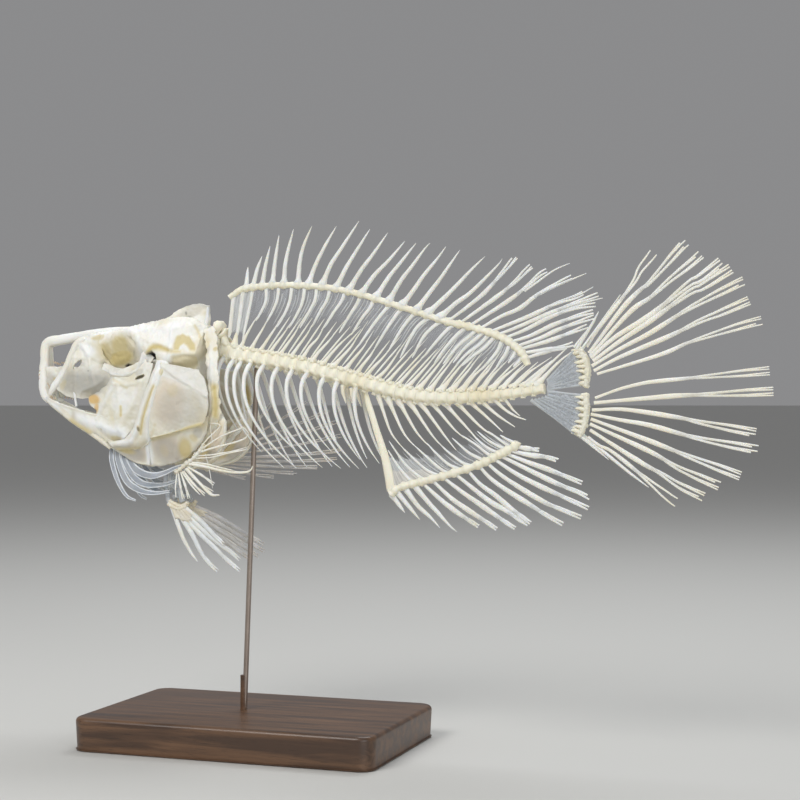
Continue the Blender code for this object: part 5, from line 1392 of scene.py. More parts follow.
def add_skull():
    x, y, z = np.moveaxis(skull_rings(), 2, 0)
    sideways, reach = np.sign(y), np.abs(y)
    seen = x + 0.49 * (head_side()(x, z) - reach)
    swell = 0.40 * roughened(x, z, 0.22, 2.0) + 0.20 * roughened(x + reach, z, 0.7, 4.0)
    swell = swell + raised(seen, z, SKULL_RIDGES) * np.clip(reach / 4, 0, 1)
    for shape, deep in ((WINDOWS[1], 0.45), (WINDOWS[2], 0.45), (WINDOWS[0], 0.2), (EAR_HOLE, 2.6)):
        swell = swell - deep * np.clip(in_patch(seen, z, shape) / 0.9 + 0.3, 0, 1)
    reach = np.maximum(0, reach + swell * np.clip(reach / 2, 0, 1))
    cx, cy, cz, rx, ry, rz = ORBIT
    inside = 1 - ((seen - cx) / rx) ** 2 - ((z - cz) / rz) ** 2
    floor = cy - ry * np.sqrt(np.clip(inside, 0, 1))
    reach = np.where(inside > 0, np.minimum(reach, np.maximum(floor, 0.5)), reach)
    marks = {key: painted(seen, z, kinds) * (np.abs(y) > 1.0) for key, kinds in SKULL_MARKS.items()}
    ragged = 0.45 * roughened(x, y, 0.75, 6.0) + 0.25 * roughened(x, y, 1.7, 8.0)
    box = from_grid("box", np.stack([x, sideways * reach, z + ragged * (z > 22)], axis=-1), HEAD,
                    closed=True, marks=marks)
    show(joined("braincase", box, crest(), neck_ridges()), "ivory_bone", "skull")


add_skull()

# --- Jaws -------------------------------------------------------------------------------------
# The toothed upper jaw is a stout white arch with a long process that slides on the snout. The
# lower jaw's two halves meet at the chin. Small brown-tipped teeth stand in rows along both.

SNOUT = bone("snout bone", (0.94, 0.95, 0.94), (0.89, 0.89, 0.84), (0.80, 0.75, 0.60), mottle=120.0,
             relief=0.08)
IVORY = bone("ivory bone", (0.86, 0.85, 0.78), (0.76, 0.72, 0.60), (0.66, 0.57, 0.36))
TOOTH = bone("tooth", (0.80, 0.66, 0.50), (0.55, 0.38, 0.24), (0.45, 0.30, 0.18), mottle=900.0)
PEG = ((-0.3, 0.22), (0.3, 0.20), (0.75, 0.13), (1.0, 0.04))     # (share of the height, girth)


def teeth(name, rows, size=0.9, seed=3):
    """Rows of small pegs: each row is (foot line of (x, y, z), direction, count)."""
    chance = random.Random(seed)
    paths = []
    for line, way, count in rows:
        way = Vector(way).normalized()
        for foot in spread(line, count):
            tall = size * chance.uniform(0.7, 1.15)
            lean = way + Vector([chance.uniform(-0.18, 0.18) for _ in range(3)])
            paths.append([(*(Vector(foot) + lean * tall * share), girth) for share, girth in PEG])
    return strands(name, paths, TOOTH, sides=6, ripple=0.0)


def add_upper_jaw():
    paths, webs = [], []
    for s in (-1, 1):
        paths.append([(-106.6, s * 0.5, 27.4, 0.3), (-109.0, s * 0.7, 27.2, 0.7),
                      (-117.0, s * 0.9, 26.5, 1.2), (-126.0, s * 1.0, 25.0, 1.8),
                      (-132.0, s * 1.0, 24.1, 1.8), (-138.0, s * 1.0, 23.2, 1.9),
                      (-142.4, s * 1.1, 22.6, 1.95), (-144.5, s * 1.3, 20.8, 1.9),
                      (-144.6, s * 1.7, 15.4, 1.9), (-144.5, s * 2.3, 11.6, 2.1),
                      (-144.2, s * 2.9, 7.7, 2.2), (-143.7, s * 3.3, 3.9, 2.1), (-143.0, s * 3.6, 1.4, 1.7),
                      (-141.8, s * 4.0, -0.6, 0.9)])
        marks = {
            "grey": [("oval", (-139.6, 6.0, 4.0, 7.0, 20), 0.5)],
            "ochre": [("oval", (-138.2, 8.0, 1.4, 1.0, 0), 0.6)]}
        webs.append(panel("web", s, ([(-142.4, 12.8), (-142.2, 8.8), (-142.4, 4.6), (-141.4, 1.0)],
                                     [(-133.8, 12.8), (-136.4, 8.8), (-138.6, 5.4), (-139.8, 1.4)]),
                          lambda x, z: 4.4 + 0.0 * x, HEAD, rows=30, columns=24, thickness=0.6, seed=14.0,
                          bumps=0.4, marks=marks))
    arch = strands("arch", [smooth(p, 60).tolist() for p in paths], SNOUT, sides=18, flat=0.62, ripple=0.3,
                   ripple_size=420.0)
    rows = [([(-145.7, s * 3.4, 11.4), (-145.6, s * 3.7, 8.0), (-144.6, s * 3.9, 4.2)], (-0.75, 0, -1), 6)
            for s in (-1, 1)]
    rows += [([(-139.8, s * 3.0, 14.6), (-138.6, s * 3.1, 14.4), (-136.8, s * 3.2, 13.8)], (0.2, 0, -1), 5)
             for s in (-1, 1)]
    rows += [([(-141.4, s * 4.9, 6.4), (-140.4, s * 5.0, 4.6), (-139.8, s * 5.0, 3.0)], (0.5, 0, -1), 5)
             for s in (-1, 1)]
    show(joined("upper_jaw_bones", arch, *webs, teeth("pegs", rows, size=0.8)), "pale_bone", "upper_jaw")


def add_lower_jaw():
    upper = [(-141.4, 1.4), (-138.0, -0.1), (-134.0, -1.3), (-127.6, -2.8), (-120.3, -4.6), (-112.0, -6.6)]
    lower = [(-141.2, -0.4), (-138.6, -1.9), (-134.2, -4.6), (-129.6, -7.7), (-125.0, -10.3),
             (-120.4, -12.7), (-116.1, -15.3), (-112.4, -18.2)]
    ridge = [(-124.6, -6.4), (-119.4, -8.6), (-113.4, -9.4), (-110.4, -10.4)]
    slim = [(x, z - (2.4 if -139 < x < -118 else 0.6)) for x, z in upper]

    def depth(x, z):
        return head_side(0.7)(x, z) - 2.2 * np.clip((x + 121) / 6, 0, 1)

    parts = []
    for s in (-1, 1):
        marks = {
            "milk": [("line", [(-142, 0), (-130, -4.6)], 2.0, 0.6), ("line", ridge, 2.0, 1.0)],
            "ochre": [("line", [(-128.6, -8.0), (-124.0, -10.4), (-120.6, -12.0)], 1.1, 0.75),
                      ("oval", (-132, -4.6, 4, 1.2, -30), 0.25)],
            "grey": [("line", [(-119.4, -12.4), (-115.6, -15.0)], 1.1, 0.55),
                     ("line", [(-128.0, -5.6), (-122.0, -9.6)], 2.2, 0.3),
                     ("oval", (-134.4, -3.6, 4.0, 1.6, -28), 0.35)]}
        parts.append(panel("half", s, (upper if s < 0 else slim, lower), depth, HEAD, rows=80, columns=34,
                           thickness=1.0, seed=2.0, ridges=[(lower, 1.0, 0.4), (upper, 0.8, 0.35),
                                                            (ridge, 2.4, 0.7)], marks=marks))
        girths = np.interp(range(24), [0, 3, 12, 20, 23], [0.7, 0.9, 0.7, 0.9, 0.6])
        rim = [(x, s * float(head_side(0.9)(x, z)), z, g) for (x, z), g in zip(smooth(lower, 24), girths)]
        parts.append(strands("rim", [rim], IVORY, sides=12, ripple=0.5, ripple_size=600.0))
    chin = [(-140.4, -5.2, 0.2, 1.1), (-142.6, -3.6, 0.7, 1.25), (-143.4, 0.0, 0.9, 1.3),
            (-142.6, 3.6, 0.7, 1.25), (-140.4, 5.2, 0.2, 1.1)]
    parts.append(strands("chin", [smooth(chin, 30).tolist()], SNOUT, sides=16, ripple=0.4))
    rows = [([(-141.4, s * 4.6, 1.0), (-139.2, s * 5.6, 0.9), (-137.0, s * 6.4, 0.4)], (0.1, 0, 1), 6)
            for s in (-1, 1)]
    parts.append(teeth("pegs", rows, seed=4))
    show(joined("lower_jaw_bones", *parts), "pale_bone", "lower_jaw")


add_upper_jaw()
add_lower_jaw()

# --- Side bones of the head -------------------------------------------------------------------
# Thin overlapping plates on the side of the skull: the slim maxilla, the grey lachrymal with the
# white ring under the eye, the cheek, the ridged preopercle, and the three bones of the gill cover.


def band(line, above, below):
    """The two edges of a strip that runs along a line of (x, z) points."""
    line = smooth(line, 40)
    aside = sideways(line)
    return line + aside * above, line - aside * below


def within(value, start, width):
    """0 up to the start, rising to 1 over the width."""
    return np.clip((value - start) / width, 0, 1)


def on_head(side, inset, points):
    """A path of (x, y, z, girth) that lies on the head's side, from (x, z, girth) points."""
    depth = head_side(inset)
    return [(x, side * float(depth(x, z)), z, g) for x, z, g in smooth(points, 30)]


def add_maxilla(name, side):
    path = [(-124.0, side * 7.2, 23.4, 0.9), (-127.4, side * 7.4, 21.4, 1.3),
            (-130.0, side * 7.5, 16.6, 1.2), (-132.4, side * 7.4, 12.2, 1.1),
            (-135.2, side * 7.2, 8.0, 1.25), (-138.0, side * 6.9, 4.4, 1.3), (-139.6, side * 6.4, 2.2, 0.7)]
    bones = strands(f"maxilla_bone_{name}", [smooth(path, 30).tolist()], SNOUT, sides=14, flat=0.62,
                    ripple=0.5, ripple_size=500.0)
    show(bones, "pale_bone", f"maxilla_{name}")


def add_lachrymal(name, side):
    left = [(-124.6, 24.4), (-127.4, 20.8), (-129.8, 15.6), (-132.2, 11.2), (-135.2, 7.4), (-136.4, 4.4),
            (-133.0, 2.2), (-127.6, 0.6)]
    right = [(-118.6, 24.8), (-117.6, 20.8), (-116.6, 17.0), (-114.2, 13.4), (-110.6, 10.6), (-109.8, 7.6),
             (-111.8, 4.6), (-116.6, 1.9), (-121.4, 0.6)]
    grey = [(-131.8, 12.0), (-127.0, 11.4), (-120.0, 11.2), (-112.0, 10.8), (-109.8, 8.0), (-112.6, 4.6),
            (-119.0, 1.6), (-127.0, 1.4), (-132.6, 2.8), (-135.8, 5.6)]

    def depth(x, z):
        upper_rear = within(x, -120.6, 4.0) * within(z, 9.5, 4.0)
        rear_edge = np.clip(1 - near_line(x, z, right[3:]) / 3.4, 0, 1) ** 0.8
        return head_side(0.6)(x, z) - 4.0 * upper_rear - 3.4 * rear_edge

    ridges = [([(-127.4, 22.4), (-121.0, 17.4), (-114.0, 12.4)], 0.9, 0.5),
              ([(-128.8, 20.0), (-127.6, 12.0), (-126.8, 3.4)], 0.8, 0.35),
              ([(-124.0, 20.6), (-119.8, 12.8), (-117.6, 5.0)], 0.7, 0.25)]
    marks = {
        "grey": [("patch", grey, 5.0, 0.80), ("oval", (-117.0, 4.2, 6.0, 2.4, 28), 0.85),
                 ("oval", (-124.6, 14.0, 3.4, 2.4, 0), 0.35)],
        "milk": [("line", [(-126.6, 23.4), (-120.0, 23.0)], 1.6, 0.8),
                 ("oval", (-122.6, 19.0, 5.0, 3.6, -30), 0.9),
                 ("line", [(-130.4, 16.6), (-133.0, 11.6), (-136.2, 7.0)], 1.0, 0.9)],
        "ochre": [("oval", (-133.0, 5.8, 1.8, 3.0, -30), 0.35), ("oval", (-118.8, 23.3, 3.0, 1.0, 2), 0.7),
                  ("line", right[:4], 1.5, 0.55)],
        # Painted shade in two small pits of the plate.
        "dusk": [("oval", (-116.4, 13.8, 0.8, 0.9, 0), 0.5), ("oval", (-121.0, 11.0, 0.6, 0.4, 0), 0.35)]}
    plate = panel("plate", side, (left, right), depth, HEAD, rows=80, columns=66, thickness=0.5, seed=3.0,
                  bumps=0.30, ragged=0.4, holes=[(-126.4, 13.4, 2.5, 0.9, 40)], ridges=ridges, marks=marks)
    ring = [(-116.0, 12.0), (-112.0, 10.6), (-107.2, 9.8), (-102.4, 10.2), (-98.8, 12.0), (-96.6, 14.6),
            (-95.0, 17.2)]
    lower_edge = [(x + 0.3, z - 2.6) for x, z in ring[:6]]

    def sunk(x, z):
        in_socket = np.clip(1.3 + in_patch(x, z, SOCKET) / 2.4, 0, 1)
        rear, front = within(x, -97.4, 2.6) * (z > 12), within(-x, 110.6, 2.4)
        below = np.clip(1 - near_line(x, z, lower_edge) / 2.0, 0, 1)
        return head_side(1.2)(x, z) - 3.0 * in_socket - 2.4 * rear - 2.0 * front - 2.6 * below

    marks = {
        "milk": [("line", ring, 1.6, 0.45)],
        "grey": [("line", [(-112.0, 11.4), (-106.8, 9.6), (-101.6, 9.6)], 2.0, 0.3),
                 ("line", [(-97.6, 12.6), (-96.0, 15.4)], 1.2, 0.35)]}
    hoop = panel("hoop", side, band(ring, 2.0, 2.6), sunk, HEAD, rows=90, columns=30, thickness=0.4,
                 seed=4.0, ragged=0.15, marks=marks)
    strut = strands("strut", [on_head(side, 0.6, [(-127.4, 3.0, 0.55), (-127.0, 0.8, 0.42),
                                                  (-126.4, -2.4, 0.5)])], WHITE, sides=10)
    show(joined(f"lachrymal_bones_{name}", plate, hoop, strut), "pale_bone", f"lachrymal_{name}")


def add_cheek(name, side):
    left = [(-111.6, 9.6), (-113.9, 6.8), (-117.8, 3.8), (-121.8, 1.4), (-120.8, -1.8), (-117.6, -4.2),
            (-118.6, -8.4), (-117.2, -11.6), (-114.6, -16.2)]
    right = [(-92.0, 16.6), (-92.2, 11.6), (-93.2, 7.0), (-94.8, 2.4), (-96.2, -1.0), (-97.8, -5.0),
             (-99.8, -8.8), (-102.4, -12.0), (-106.6, -15.6)]

    def depth(x, z):
        return head_side(2.2)(x, z) - 1.1 * np.clip(1 - near_line(x, z, left[:4]) / 3.0, 0, 1)

    ridges = [([(-109.0, 6.6), (-113.6, -0.8), (-117.6, -6.8)], 0.9, 0.6),
              ([(-117.9, -9.0), (-112.5, -10.9), (-105.8, -12.2), (-104.0, -15.4)], 2.2, 1.2),
              ([(-107.6, 5.6), (-106.6, -1.0), (-108.4, -8.4)], 0.9, 0.45),
              ([(-94.4, 13.6), (-97.4, 5.0), (-101.6, -3.6), (-107.0, -10.6)], 1.2, 0.6),
              ([(-109.4, 6.4), (-102.4, 5.6), (-96.4, 7.0)], 0.8, 0.5)]
    marks = {
        "milk": [("line", [(-117.9, -9.0), (-112.5, -10.9), (-105.8, -12.2), (-104.0, -15.4)], 1.8, 1.0),
                 ("oval", (-106.0, 0.0, 6.0, 6.0, 0), 0.55),
                 ("line", [(-109, 6), (-117.6, -6.8)], 0.8, 0.5)],
        "ochre": [("line", [(-105.9, -2.4), (-106.1, -5.8)], 0.5, 0.9),
                  ("oval", (-110.4, -5.6, 1.4, 3.0, 20), 0.25),
                  ("line", [(-109.6, 7.8), (-103.0, 4.4)], 0.5, 0.35),
                  ("oval", (-109.6, -14.2, 3.4, 1.2, 0), 0.5)],
        "amber": [("oval", (-118.8, 0.2, 4.2, 2.4, -6), 1.1), ("oval", (-117.4, -3.0, 1.6, 2.8, 0), 0.9)],
        "grey": [("line", left[:4], 2.6, 0.62), ("oval", (-98.0, 10.4, 3.0, 1.6, 10), 0.4)]}
    plate = panel("plate", side, (left, right), depth, HEAD, rows=84, columns=64, thickness=0.5, seed=5.0,
                  bumps=0.28, holes=[(-97.4, 8.4, 2.6, 0.75, 18), (-92.6, 16.3, 3.2, 2.6, 0)], ridges=ridges,
                  marks=marks)
    joint = strands("joint", [on_head(side, 1.7, [(-118.6, -9.0, 0.5), (-115.6, -10.0, 1.3),
                                                  (-111.0, -11.2, 1.2), (-106.2, -12.4, 1.0),
                                                  (-104.2, -14.6, 0.7), (-103.6, -16.2, 0.3)])], HEAD,
                    sides=14, flat=0.45, ripple=0.5, ripple_size=500.0)
    show(joined(f"cheek_bones_{name}", plate, joint), "ivory_bone", f"cheek_{name}")


def add_preopercle(name, side):
    left = [(-90.8, 17.2), (-90.6, 12.0), (-92.4, 6.4), (-94.8, 0.6), (-97.2, -5.0), (-100.0, -10.4),
            (-104.6, -14.4), (-112.8, -15.8)]
    right = [(-85.4, 16.0), (-85.6, 11.0), (-88.4, 3.6), (-90.8, -3.0), (-92.4, -9.0), (-93.2, -15.0),
             (-98.6, -18.0), (-109.0, -18.6)]
    front = [(-88.4, 15.4), (-88.5, 10.8), (-91.0, 4.1), (-94.7, -3.5), (-97.6, -10.5), (-101.3, -15.4)]
    rear = [(-86.4, 14.6), (-86.7, 11.1), (-89.4, 3.4), (-91.6, -4.0), (-93.3, -10.5), (-94.0, -16.0)]
    groove = [(-87.5, 12.6), (-89.8, 5.0), (-92.6, -1.4), (-95.0, -7.2), (-96.6, -12.4)]
    ridges = [(front, 0.9, 0.5), (rear, 0.7, 0.4), (groove, 0.7, -0.35),
              ([(-101.0, -15.6), (-111.0, -17.2)], 1.0, 0.4), (right[1:8], 0.9, -0.9),
              (left[1:8], 0.9, -0.7)]
    marks = {
        "ochre": [("line", groove[1:], 0.75, 0.9), ("oval", (-86.6, 10.4, 1.4, 2.2, 0), 0.6),
                  ("oval", (-97.0, -10.6, 1.0, 1.8, 0), 0.7),
                  ("line", [(-98.6, -17.8), (-108.4, -18.4)], 0.7, 0.6)],
        "milk": [("line", front, 0.8, 0.8), ("line", rear, 0.7, 0.6),
                 ("oval", (-104.6, -15.8, 4.6, 1.8, 8), 0.6), ("oval", (-88.4, 13.6, 4.0, 4.0, 0), 1.0)],
        "grey": [("line", [(-103.0, -16.8), (-112.0, -17.2)], 0.9, 0.45), ("line", right[3:6], 0.9, 0.3)],
        # Painted shade in a small pit by the groove.
        "dusk": [("oval", (-97.2, -10.6, 0.6, 1.1, 0), 0.55)]}
    plate = panel(f"preopercle_bone_{name}", side, (left, right),
                  lambda x, z: head_side(-0.3)(x, z) - 3.2 * within(z, 10.5, 5.5), HEAD, rows=100,
                  columns=40, thickness=0.6, seed=6.0, ragged=0.35, bumps=0.22, ridges=ridges, marks=marks)
    show(plate, "cream_bone", f"preopercle_{name}")


def add_gill_cover(name, side):
    left = [(-88.0, 13.8), (-89.0, 9.0), (-91.4, 2.6), (-93.2, -3.4), (-94.6, -9.0), (-95.4, -14.9)]
    right = [(-72.4, 11.0), (-69.6, 6.9), (-68.0, 1.4), (-68.5, -3.9), (-70.6, -8.6), (-76.4, -10.4)]
    corner = [(-86.9, 12.7), (-80.7, 8.4), (-74.7, 5.2), (-68.5, 1.4)]
    edge = [(-93.0, -14.6), (-85.7, -12.9), (-81.4, -11.8), (-77.0, -10.2), (-71.4, -8.8)]
    ridges = [(corner, 0.7, 0.55), ([(-86.9, 12.7), (-87.4, 8.0), (-91.0, -2.0), (-93.2, -13.4)], 0.8, 0.4),
              ([(-86.4, 11.8), (-82.0, 1.0), (-79.0, -9.6)], 1.6, 0.3), (edge, 0.6, 0.3)]
    marks = {
        "peach": [("oval", (-84.0, -0.6, 9.0, 13.0, -14), 1.0), ("oval", (-82.0, 5.0, 5.0, 3.0, 0), 0.7)],
        "milk": [("patch", [(-84.0, 7.6), (-76.0, 4.2), (-70.0, 0.0), (-66.0, 0.0), (-68.0, 14.0),
                            (-86.0, 14.0)], 3.0, 0.35),
                 ("line", [(-86.4, 9.4), (-79.3, 6.8), (-75.3, 5.0), (-71.2, 2.2)], 0.7, 0.5)],
        "ochre": [("line", edge, 0.55, 0.8), ("oval", (-82.0, 3.4, 2.6, 3.0, 0), 0.25),
                  ("line", [(-92.6, -13.8), (-90.0, -9.0)], 0.6, 0.3)],
        "grey": [("patch", [(-86.2, 8.3), (-79.3, 6.1), (-75.3, 4.2), (-71.2, 1.3), (-66.0, 0.0),
                            (-68.0, 14.0), (-86.0, 14.0)], 1.5, 0.28),
                 ("oval", (-78.4, -3.0, 14.0, 11.0, 15), 0.42), ("oval", (-76.4, -5.0, 7.0, 5.0, 15), 0.45)]}
    cover = panel(f"opercle_bone_{name}", side, (left, right), head_side(0.5), HEAD, rows=90, columns=70,
                  thickness=0.5, seed=7.0, ragged=0.35, bumps=0.24, ridges=ridges, marks=marks)
    show(cover, "ivory_bone", f"opercle_{name}")
    top = [(-68.8, -5.6), (-72.6, -7.4), (-77.6, -8.2), (-82.0, -9.6), (-87.0, -11.2), (-93.0, -12.8),
           (-97.8, -14.0)]
    foot = [(-70.0, -11.6), (-73.0, -15.6), (-77.2, -19.4), (-82.0, -22.2), (-87.8, -23.9), (-93.4, -24.7),
            (-98.4, -24.6)]
    ridges = [([(-94.0, -15.4), (-94.6, -23.4)], 0.8, 0.6),
              ([(-79.5, -10.1), (-82.4, -15.4), (-84.0, -21.0)], 0.8, 0.3)]
    marks = {
        "ochre": [("oval", (-79.9, -17.9, 3.4, 5.6, -16), 0.8), ("line", edge, 0.8, 0.55),
                  ("oval", (-75.7, -13.9, 2.2, 1.8, -30), 0.5), ("oval", (-88.8, -18.6, 2.4, 3.2, 0), 0.2)],
        "peach": [("oval", (-86.4, -18.0, 9.0, 7.0, -10), 1.0)],
        "grey": [("oval", (-87.2, -19.4, 9.0, 7.4, -8), 0.5), ("oval", (-73.6, -12.0, 2.4, 3.0, -40), 0.5),
                 ("line", foot, 0.8, 0.5)],
        "milk": [("line", [(-94.2, -15.4), (-94.8, -23.4)], 0.8, 0.8),
                 ("oval", (-79.4, -10.0, 1.6, 0.9, 20), 0.9)]}
    lower = panel(f"subopercle_bone_{name}", side, (top, foot), head_side(1.6), HEAD, rows=76, columns=48,
                  thickness=0.5, seed=8.0, ridges=ridges, marks=marks)
    show(lower, "ivory_bone", f"subopercle_{name}")
    rim = [(-112.9, -15.0), (-107.4, -16.2), (-101.0, -16.0), (-93.9, -14.6)]
    keel = [(-111.6, -18.2), (-107.6, -20.4), (-101.6, -23.6), (-95.9, -24.4)]
    ridges = [([(-95.3, -15.4), (-96.3, -23.4)], 0.8, 0.5), (keel, 0.7, 0.3)]
    marks = {
        "grey": [("oval", (-103.6, -19.8, 9.0, 4.4, -14), 0.65)],
        "ochre": [("oval", (-106.0, -18.4, 6.0, 2.0, -14), 0.75)],
        "peach": [("oval", (-100.0, -19.6, 8.0, 5.0, 0), 0.9)],
        # White along the rear edge: a pale ridge, and painted light over the shade that the step onto the
        # subopercle casts.
        "milk": [("line", [(-95.0, -15.4), (-96.2, -23.4)], 1.0, 0.9)]}
    front = panel(f"interopercle_bone_{name}", side, (rim, keel), head_side(1.25), HEAD, rows=60, columns=34,
                  thickness=0.5, seed=9.0, ridges=ridges, marks=marks)
    show(front, "ivory_bone", f"interopercle_{name}")


for side_name, side in SIDES:
    add_maxilla(side_name, side)
    add_lachrymal(side_name, side)
    add_cheek(side_name, side)
    add_preopercle(side_name, side)
    add_gill_cover(side_name, side)

# --- Gill-cover rays --------------------------------------------------------------------------
# Under the throat a short hyoid bar on each side carries four long curved blades of thin,
# bluish, half-clear bone with brighter rims, swept back in a bundle.

BLADES = [
    [(-113.6, 4.6, -17.0, 0.75), (-113.2, 6.0, -22.4, 1.0), (-110.8, 6.2, -29.9, 0.85),
     (-107.4, 5.4, -36.0, 0.55), (-103.8, 4.6, -37.9, 0.25)],
    [(-111.4, 5.0, -17.6, 0.8), (-110.2, 6.4, -22.6, 1.2), (-106.6, 6.4, -30.4, 1.35),
     (-101.3, 6.0, -33.9, 1.1), (-95.8, 5.6, -34.9, 0.7), (-89.3, 5.6, -34.2, 0.3)],
    [(-108.8, 5.2, -18.0, 0.8), (-107.5, 6.6, -22.7, 1.1), (-103.4, 7.0, -28.8, 1.3),
     (-98.9, 6.4, -31.6, 1.15), (-91.4, 6.2, -31.6, 0.7), (-84.6, 6.6, -29.6, 0.3)],
    [(-106.2, 5.6, -18.2, 0.8), (-105.2, 6.8, -22.4, 1.1), (-101.6, 7.6, -26.4, 1.4),
     (-95.8, 8.4, -28.2, 1.25), (-90.3, 9.2, -27.4, 0.9), (-84.3, 10.8, -25.2, 0.6),
     (-78.8, 12.6, -23.6, 0.35)]]

BLADE = bone("blade bone", (0.48, 0.51, 0.56), (0.27, 0.31, 0.36), (0.42, 0.44, 0.47), mottle=90.0, glow=0.3)
RIM = bone("rim bone", (0.88, 0.91, 0.94), (0.78, 0.82, 0.86), (0.78, 0.80, 0.80))


def add_gill_rays(name, side):
    blades, rims = [], []
    for controls in BLADES:
        line = smooth([(x, side * y, z, g) for x, y, z, g in controls], 34)
        blades.append(line.tolist())
        for edge in (-1, 1):
            shift = sideways(line[:, [0, 2]]) * line[:, 3:] * 0.80 * edge
            rims.append([(x + a, y, z + b, 0.16 + 0.14 * g) for (x, y, z, g), (a, b) in zip(line, shift)])
    bar = [(-114.0, side * 4.2, -16.2, 0.9), (-110.0, side * 4.9, -17.2, 1.5),
           (-106.0, side * 5.4, -18.2, 1.2), (-102.0, side * 5.8, -18.6, 1.35),
           (-97.0, side * 6.2, -18.4, 1.6), (-90.6, side * 7.0, -17.4, 1.1)]
    pieces = [strands("blades", blades, BLADE, sides=14, flat=0.30, ripple=0.2, ripple_size=500.0),
              strands("rims", rims, RIM, sides=8, ripple=0.3),
              strands("bar", [smooth(bar, 24).tolist()], IVORY, sides=14, ripple=0.6)]
    show(joined(f"gill_blades_{name}", *pieces), "pale_bone", f"gill_rays_{name}")


for side_name, side in SIDES:
    add_gill_rays(side_name, side)

# --- Shoulder ---------------------------------------------------------------------------------
# Behind the gill cover a curved strip of cream bone runs down from the back of the skull, and
# widens below into a thin, half-clear, ochre-spotted blade that carries the pectoral fin.

SHOULDER = [(-73.8, 26.6), (-71.0, 20.7), (-69.2, 15.0), (-67.4, 7.0), (-66.6, -0.7), (-67.6, -6.4),
            (-71.6, -13.4), (-77.8, -19.4), (-87.0, -24.2)]
# How far out the strip is at a height z, and the blade at a place x
SHOULDER_Y = [(-25.0, 3.6), (-20.2, 7.4), (-14.0, 9.9), (-6.4, 13.4), (1.6, 14.6), (9.0, 13.6), (15.0, 11.2),
              (20.0, 8.0), (26.6, 4.0)]
BLADE_Y = [(-88, 3.8), (-77, 7.6), (-70, 10.4), (-62, 13.4)]


def add_shoulder(name, side):
    ridges = [(SHOULDER[2:], 0.8, 0.6), ([(p[0] - 1.4, p[1]) for p in SHOULDER[2:]], 0.5, 0.35)]
    marks = {
        "grey": [("line", [(-69.4, 11.6), (-68.0, 6.0)], 1.1, 0.7),
                 ("oval", (-71.6, 18.0, 1.2, 2.4, 0), 0.4)],
        "ochre": [("line", [(-66.6, 4.8), (-66.0, 0.0), (-66.4, -5.4)], 1.3, 1.0),
                  ("oval", (-68.8, 18.6, 1.0, 1.0, 0), 0.8),
                  ("line", [(-74.4, 25.4), (-72.0, 20.0)], 0.7, 0.3),
                  ("oval", (-79.0, -19.8, 3.0, 1.6, 40), 0.6)],
        "milk": [("line", [(-71.0, 20.7), (-69.2, 15.0), (-67.8, 8.0)], 0.9, 0.5)]}
    strip = panel("strip", side, band(SHOULDER, 2.3, 2.0), lambda x, z: profile(SHOULDER_Y, z), HEAD,
                  rows=120, columns=26, thickness=0.7, seed=10.0, ragged=0.9, bumps=0.5, ridges=ridges,
                  marks=marks)
    top = [(-66.4, -3.0), (-69.4, -10.4), (-75.0, -16.6), (-83.6, -21.4)]
    foot = [(-62.6, -7.6), (-64.0, -16.0), (-69.6, -22.6), (-80.6, -25.6)]
    ridges = [([(-66.0, -6.0), (-70.0, -15.0), (-79.0, -22.0)], 0.9, 0.5),
              ([(-64.0, -9.0), (-67.0, -19.0)], 0.8, 0.4)]
    marks = {
        "peach": [("oval", (-71.0, -15.6, 12.0, 9.0, 45), 1.0)],
        "grey": [("oval", (-70.0, -19.6, 5.0, 3.0, 40), 0.5)],
        "ochre": [("oval", (-72.6, -19.2, 1.8, 5.4, -40), 0.7), ("oval", (-66.4, -8.4, 2.0, 2.0, 0), 0.4)]}
    blade = panel("blade", side, (top, foot), lambda x, z: profile(BLADE_Y, x), HEAD, rows=56, columns=30,
                  thickness=0.6, seed=11.0, bumps=0.4, ridges=ridges, marks=marks)
    low = smooth([(*foot[0], 0.4), (*foot[1], 0.7), (*foot[2], 0.8), (*foot[3], 0.5)], 24)
    lip = [(x, side * between(BLADE_Y, x), z, g) for x, z, g in low]
    show(joined(f"shoulder_bones_{name}", strip, blade, strands("lip", [lip], IVORY, sides=10)),
         "cream_bone", f"shoulder_{name}")


for side_name, side in SIDES:
    add_shoulder(side_name, side)

# --- Pectoral fins ----------------------------------------------------------------------------
# Four small hourglass bones at the rear of each shoulder carry a fan of very fine rays. The left
# fan is dry and tangled, with bent tips. The right one lies back straight along the ribs, painted darker as
# shade.

PECTORAL_BASE = [(-71.4, -17.2), (-75.2, -21.0), (-79.2, -24.0), (-82.6, -26.6)]
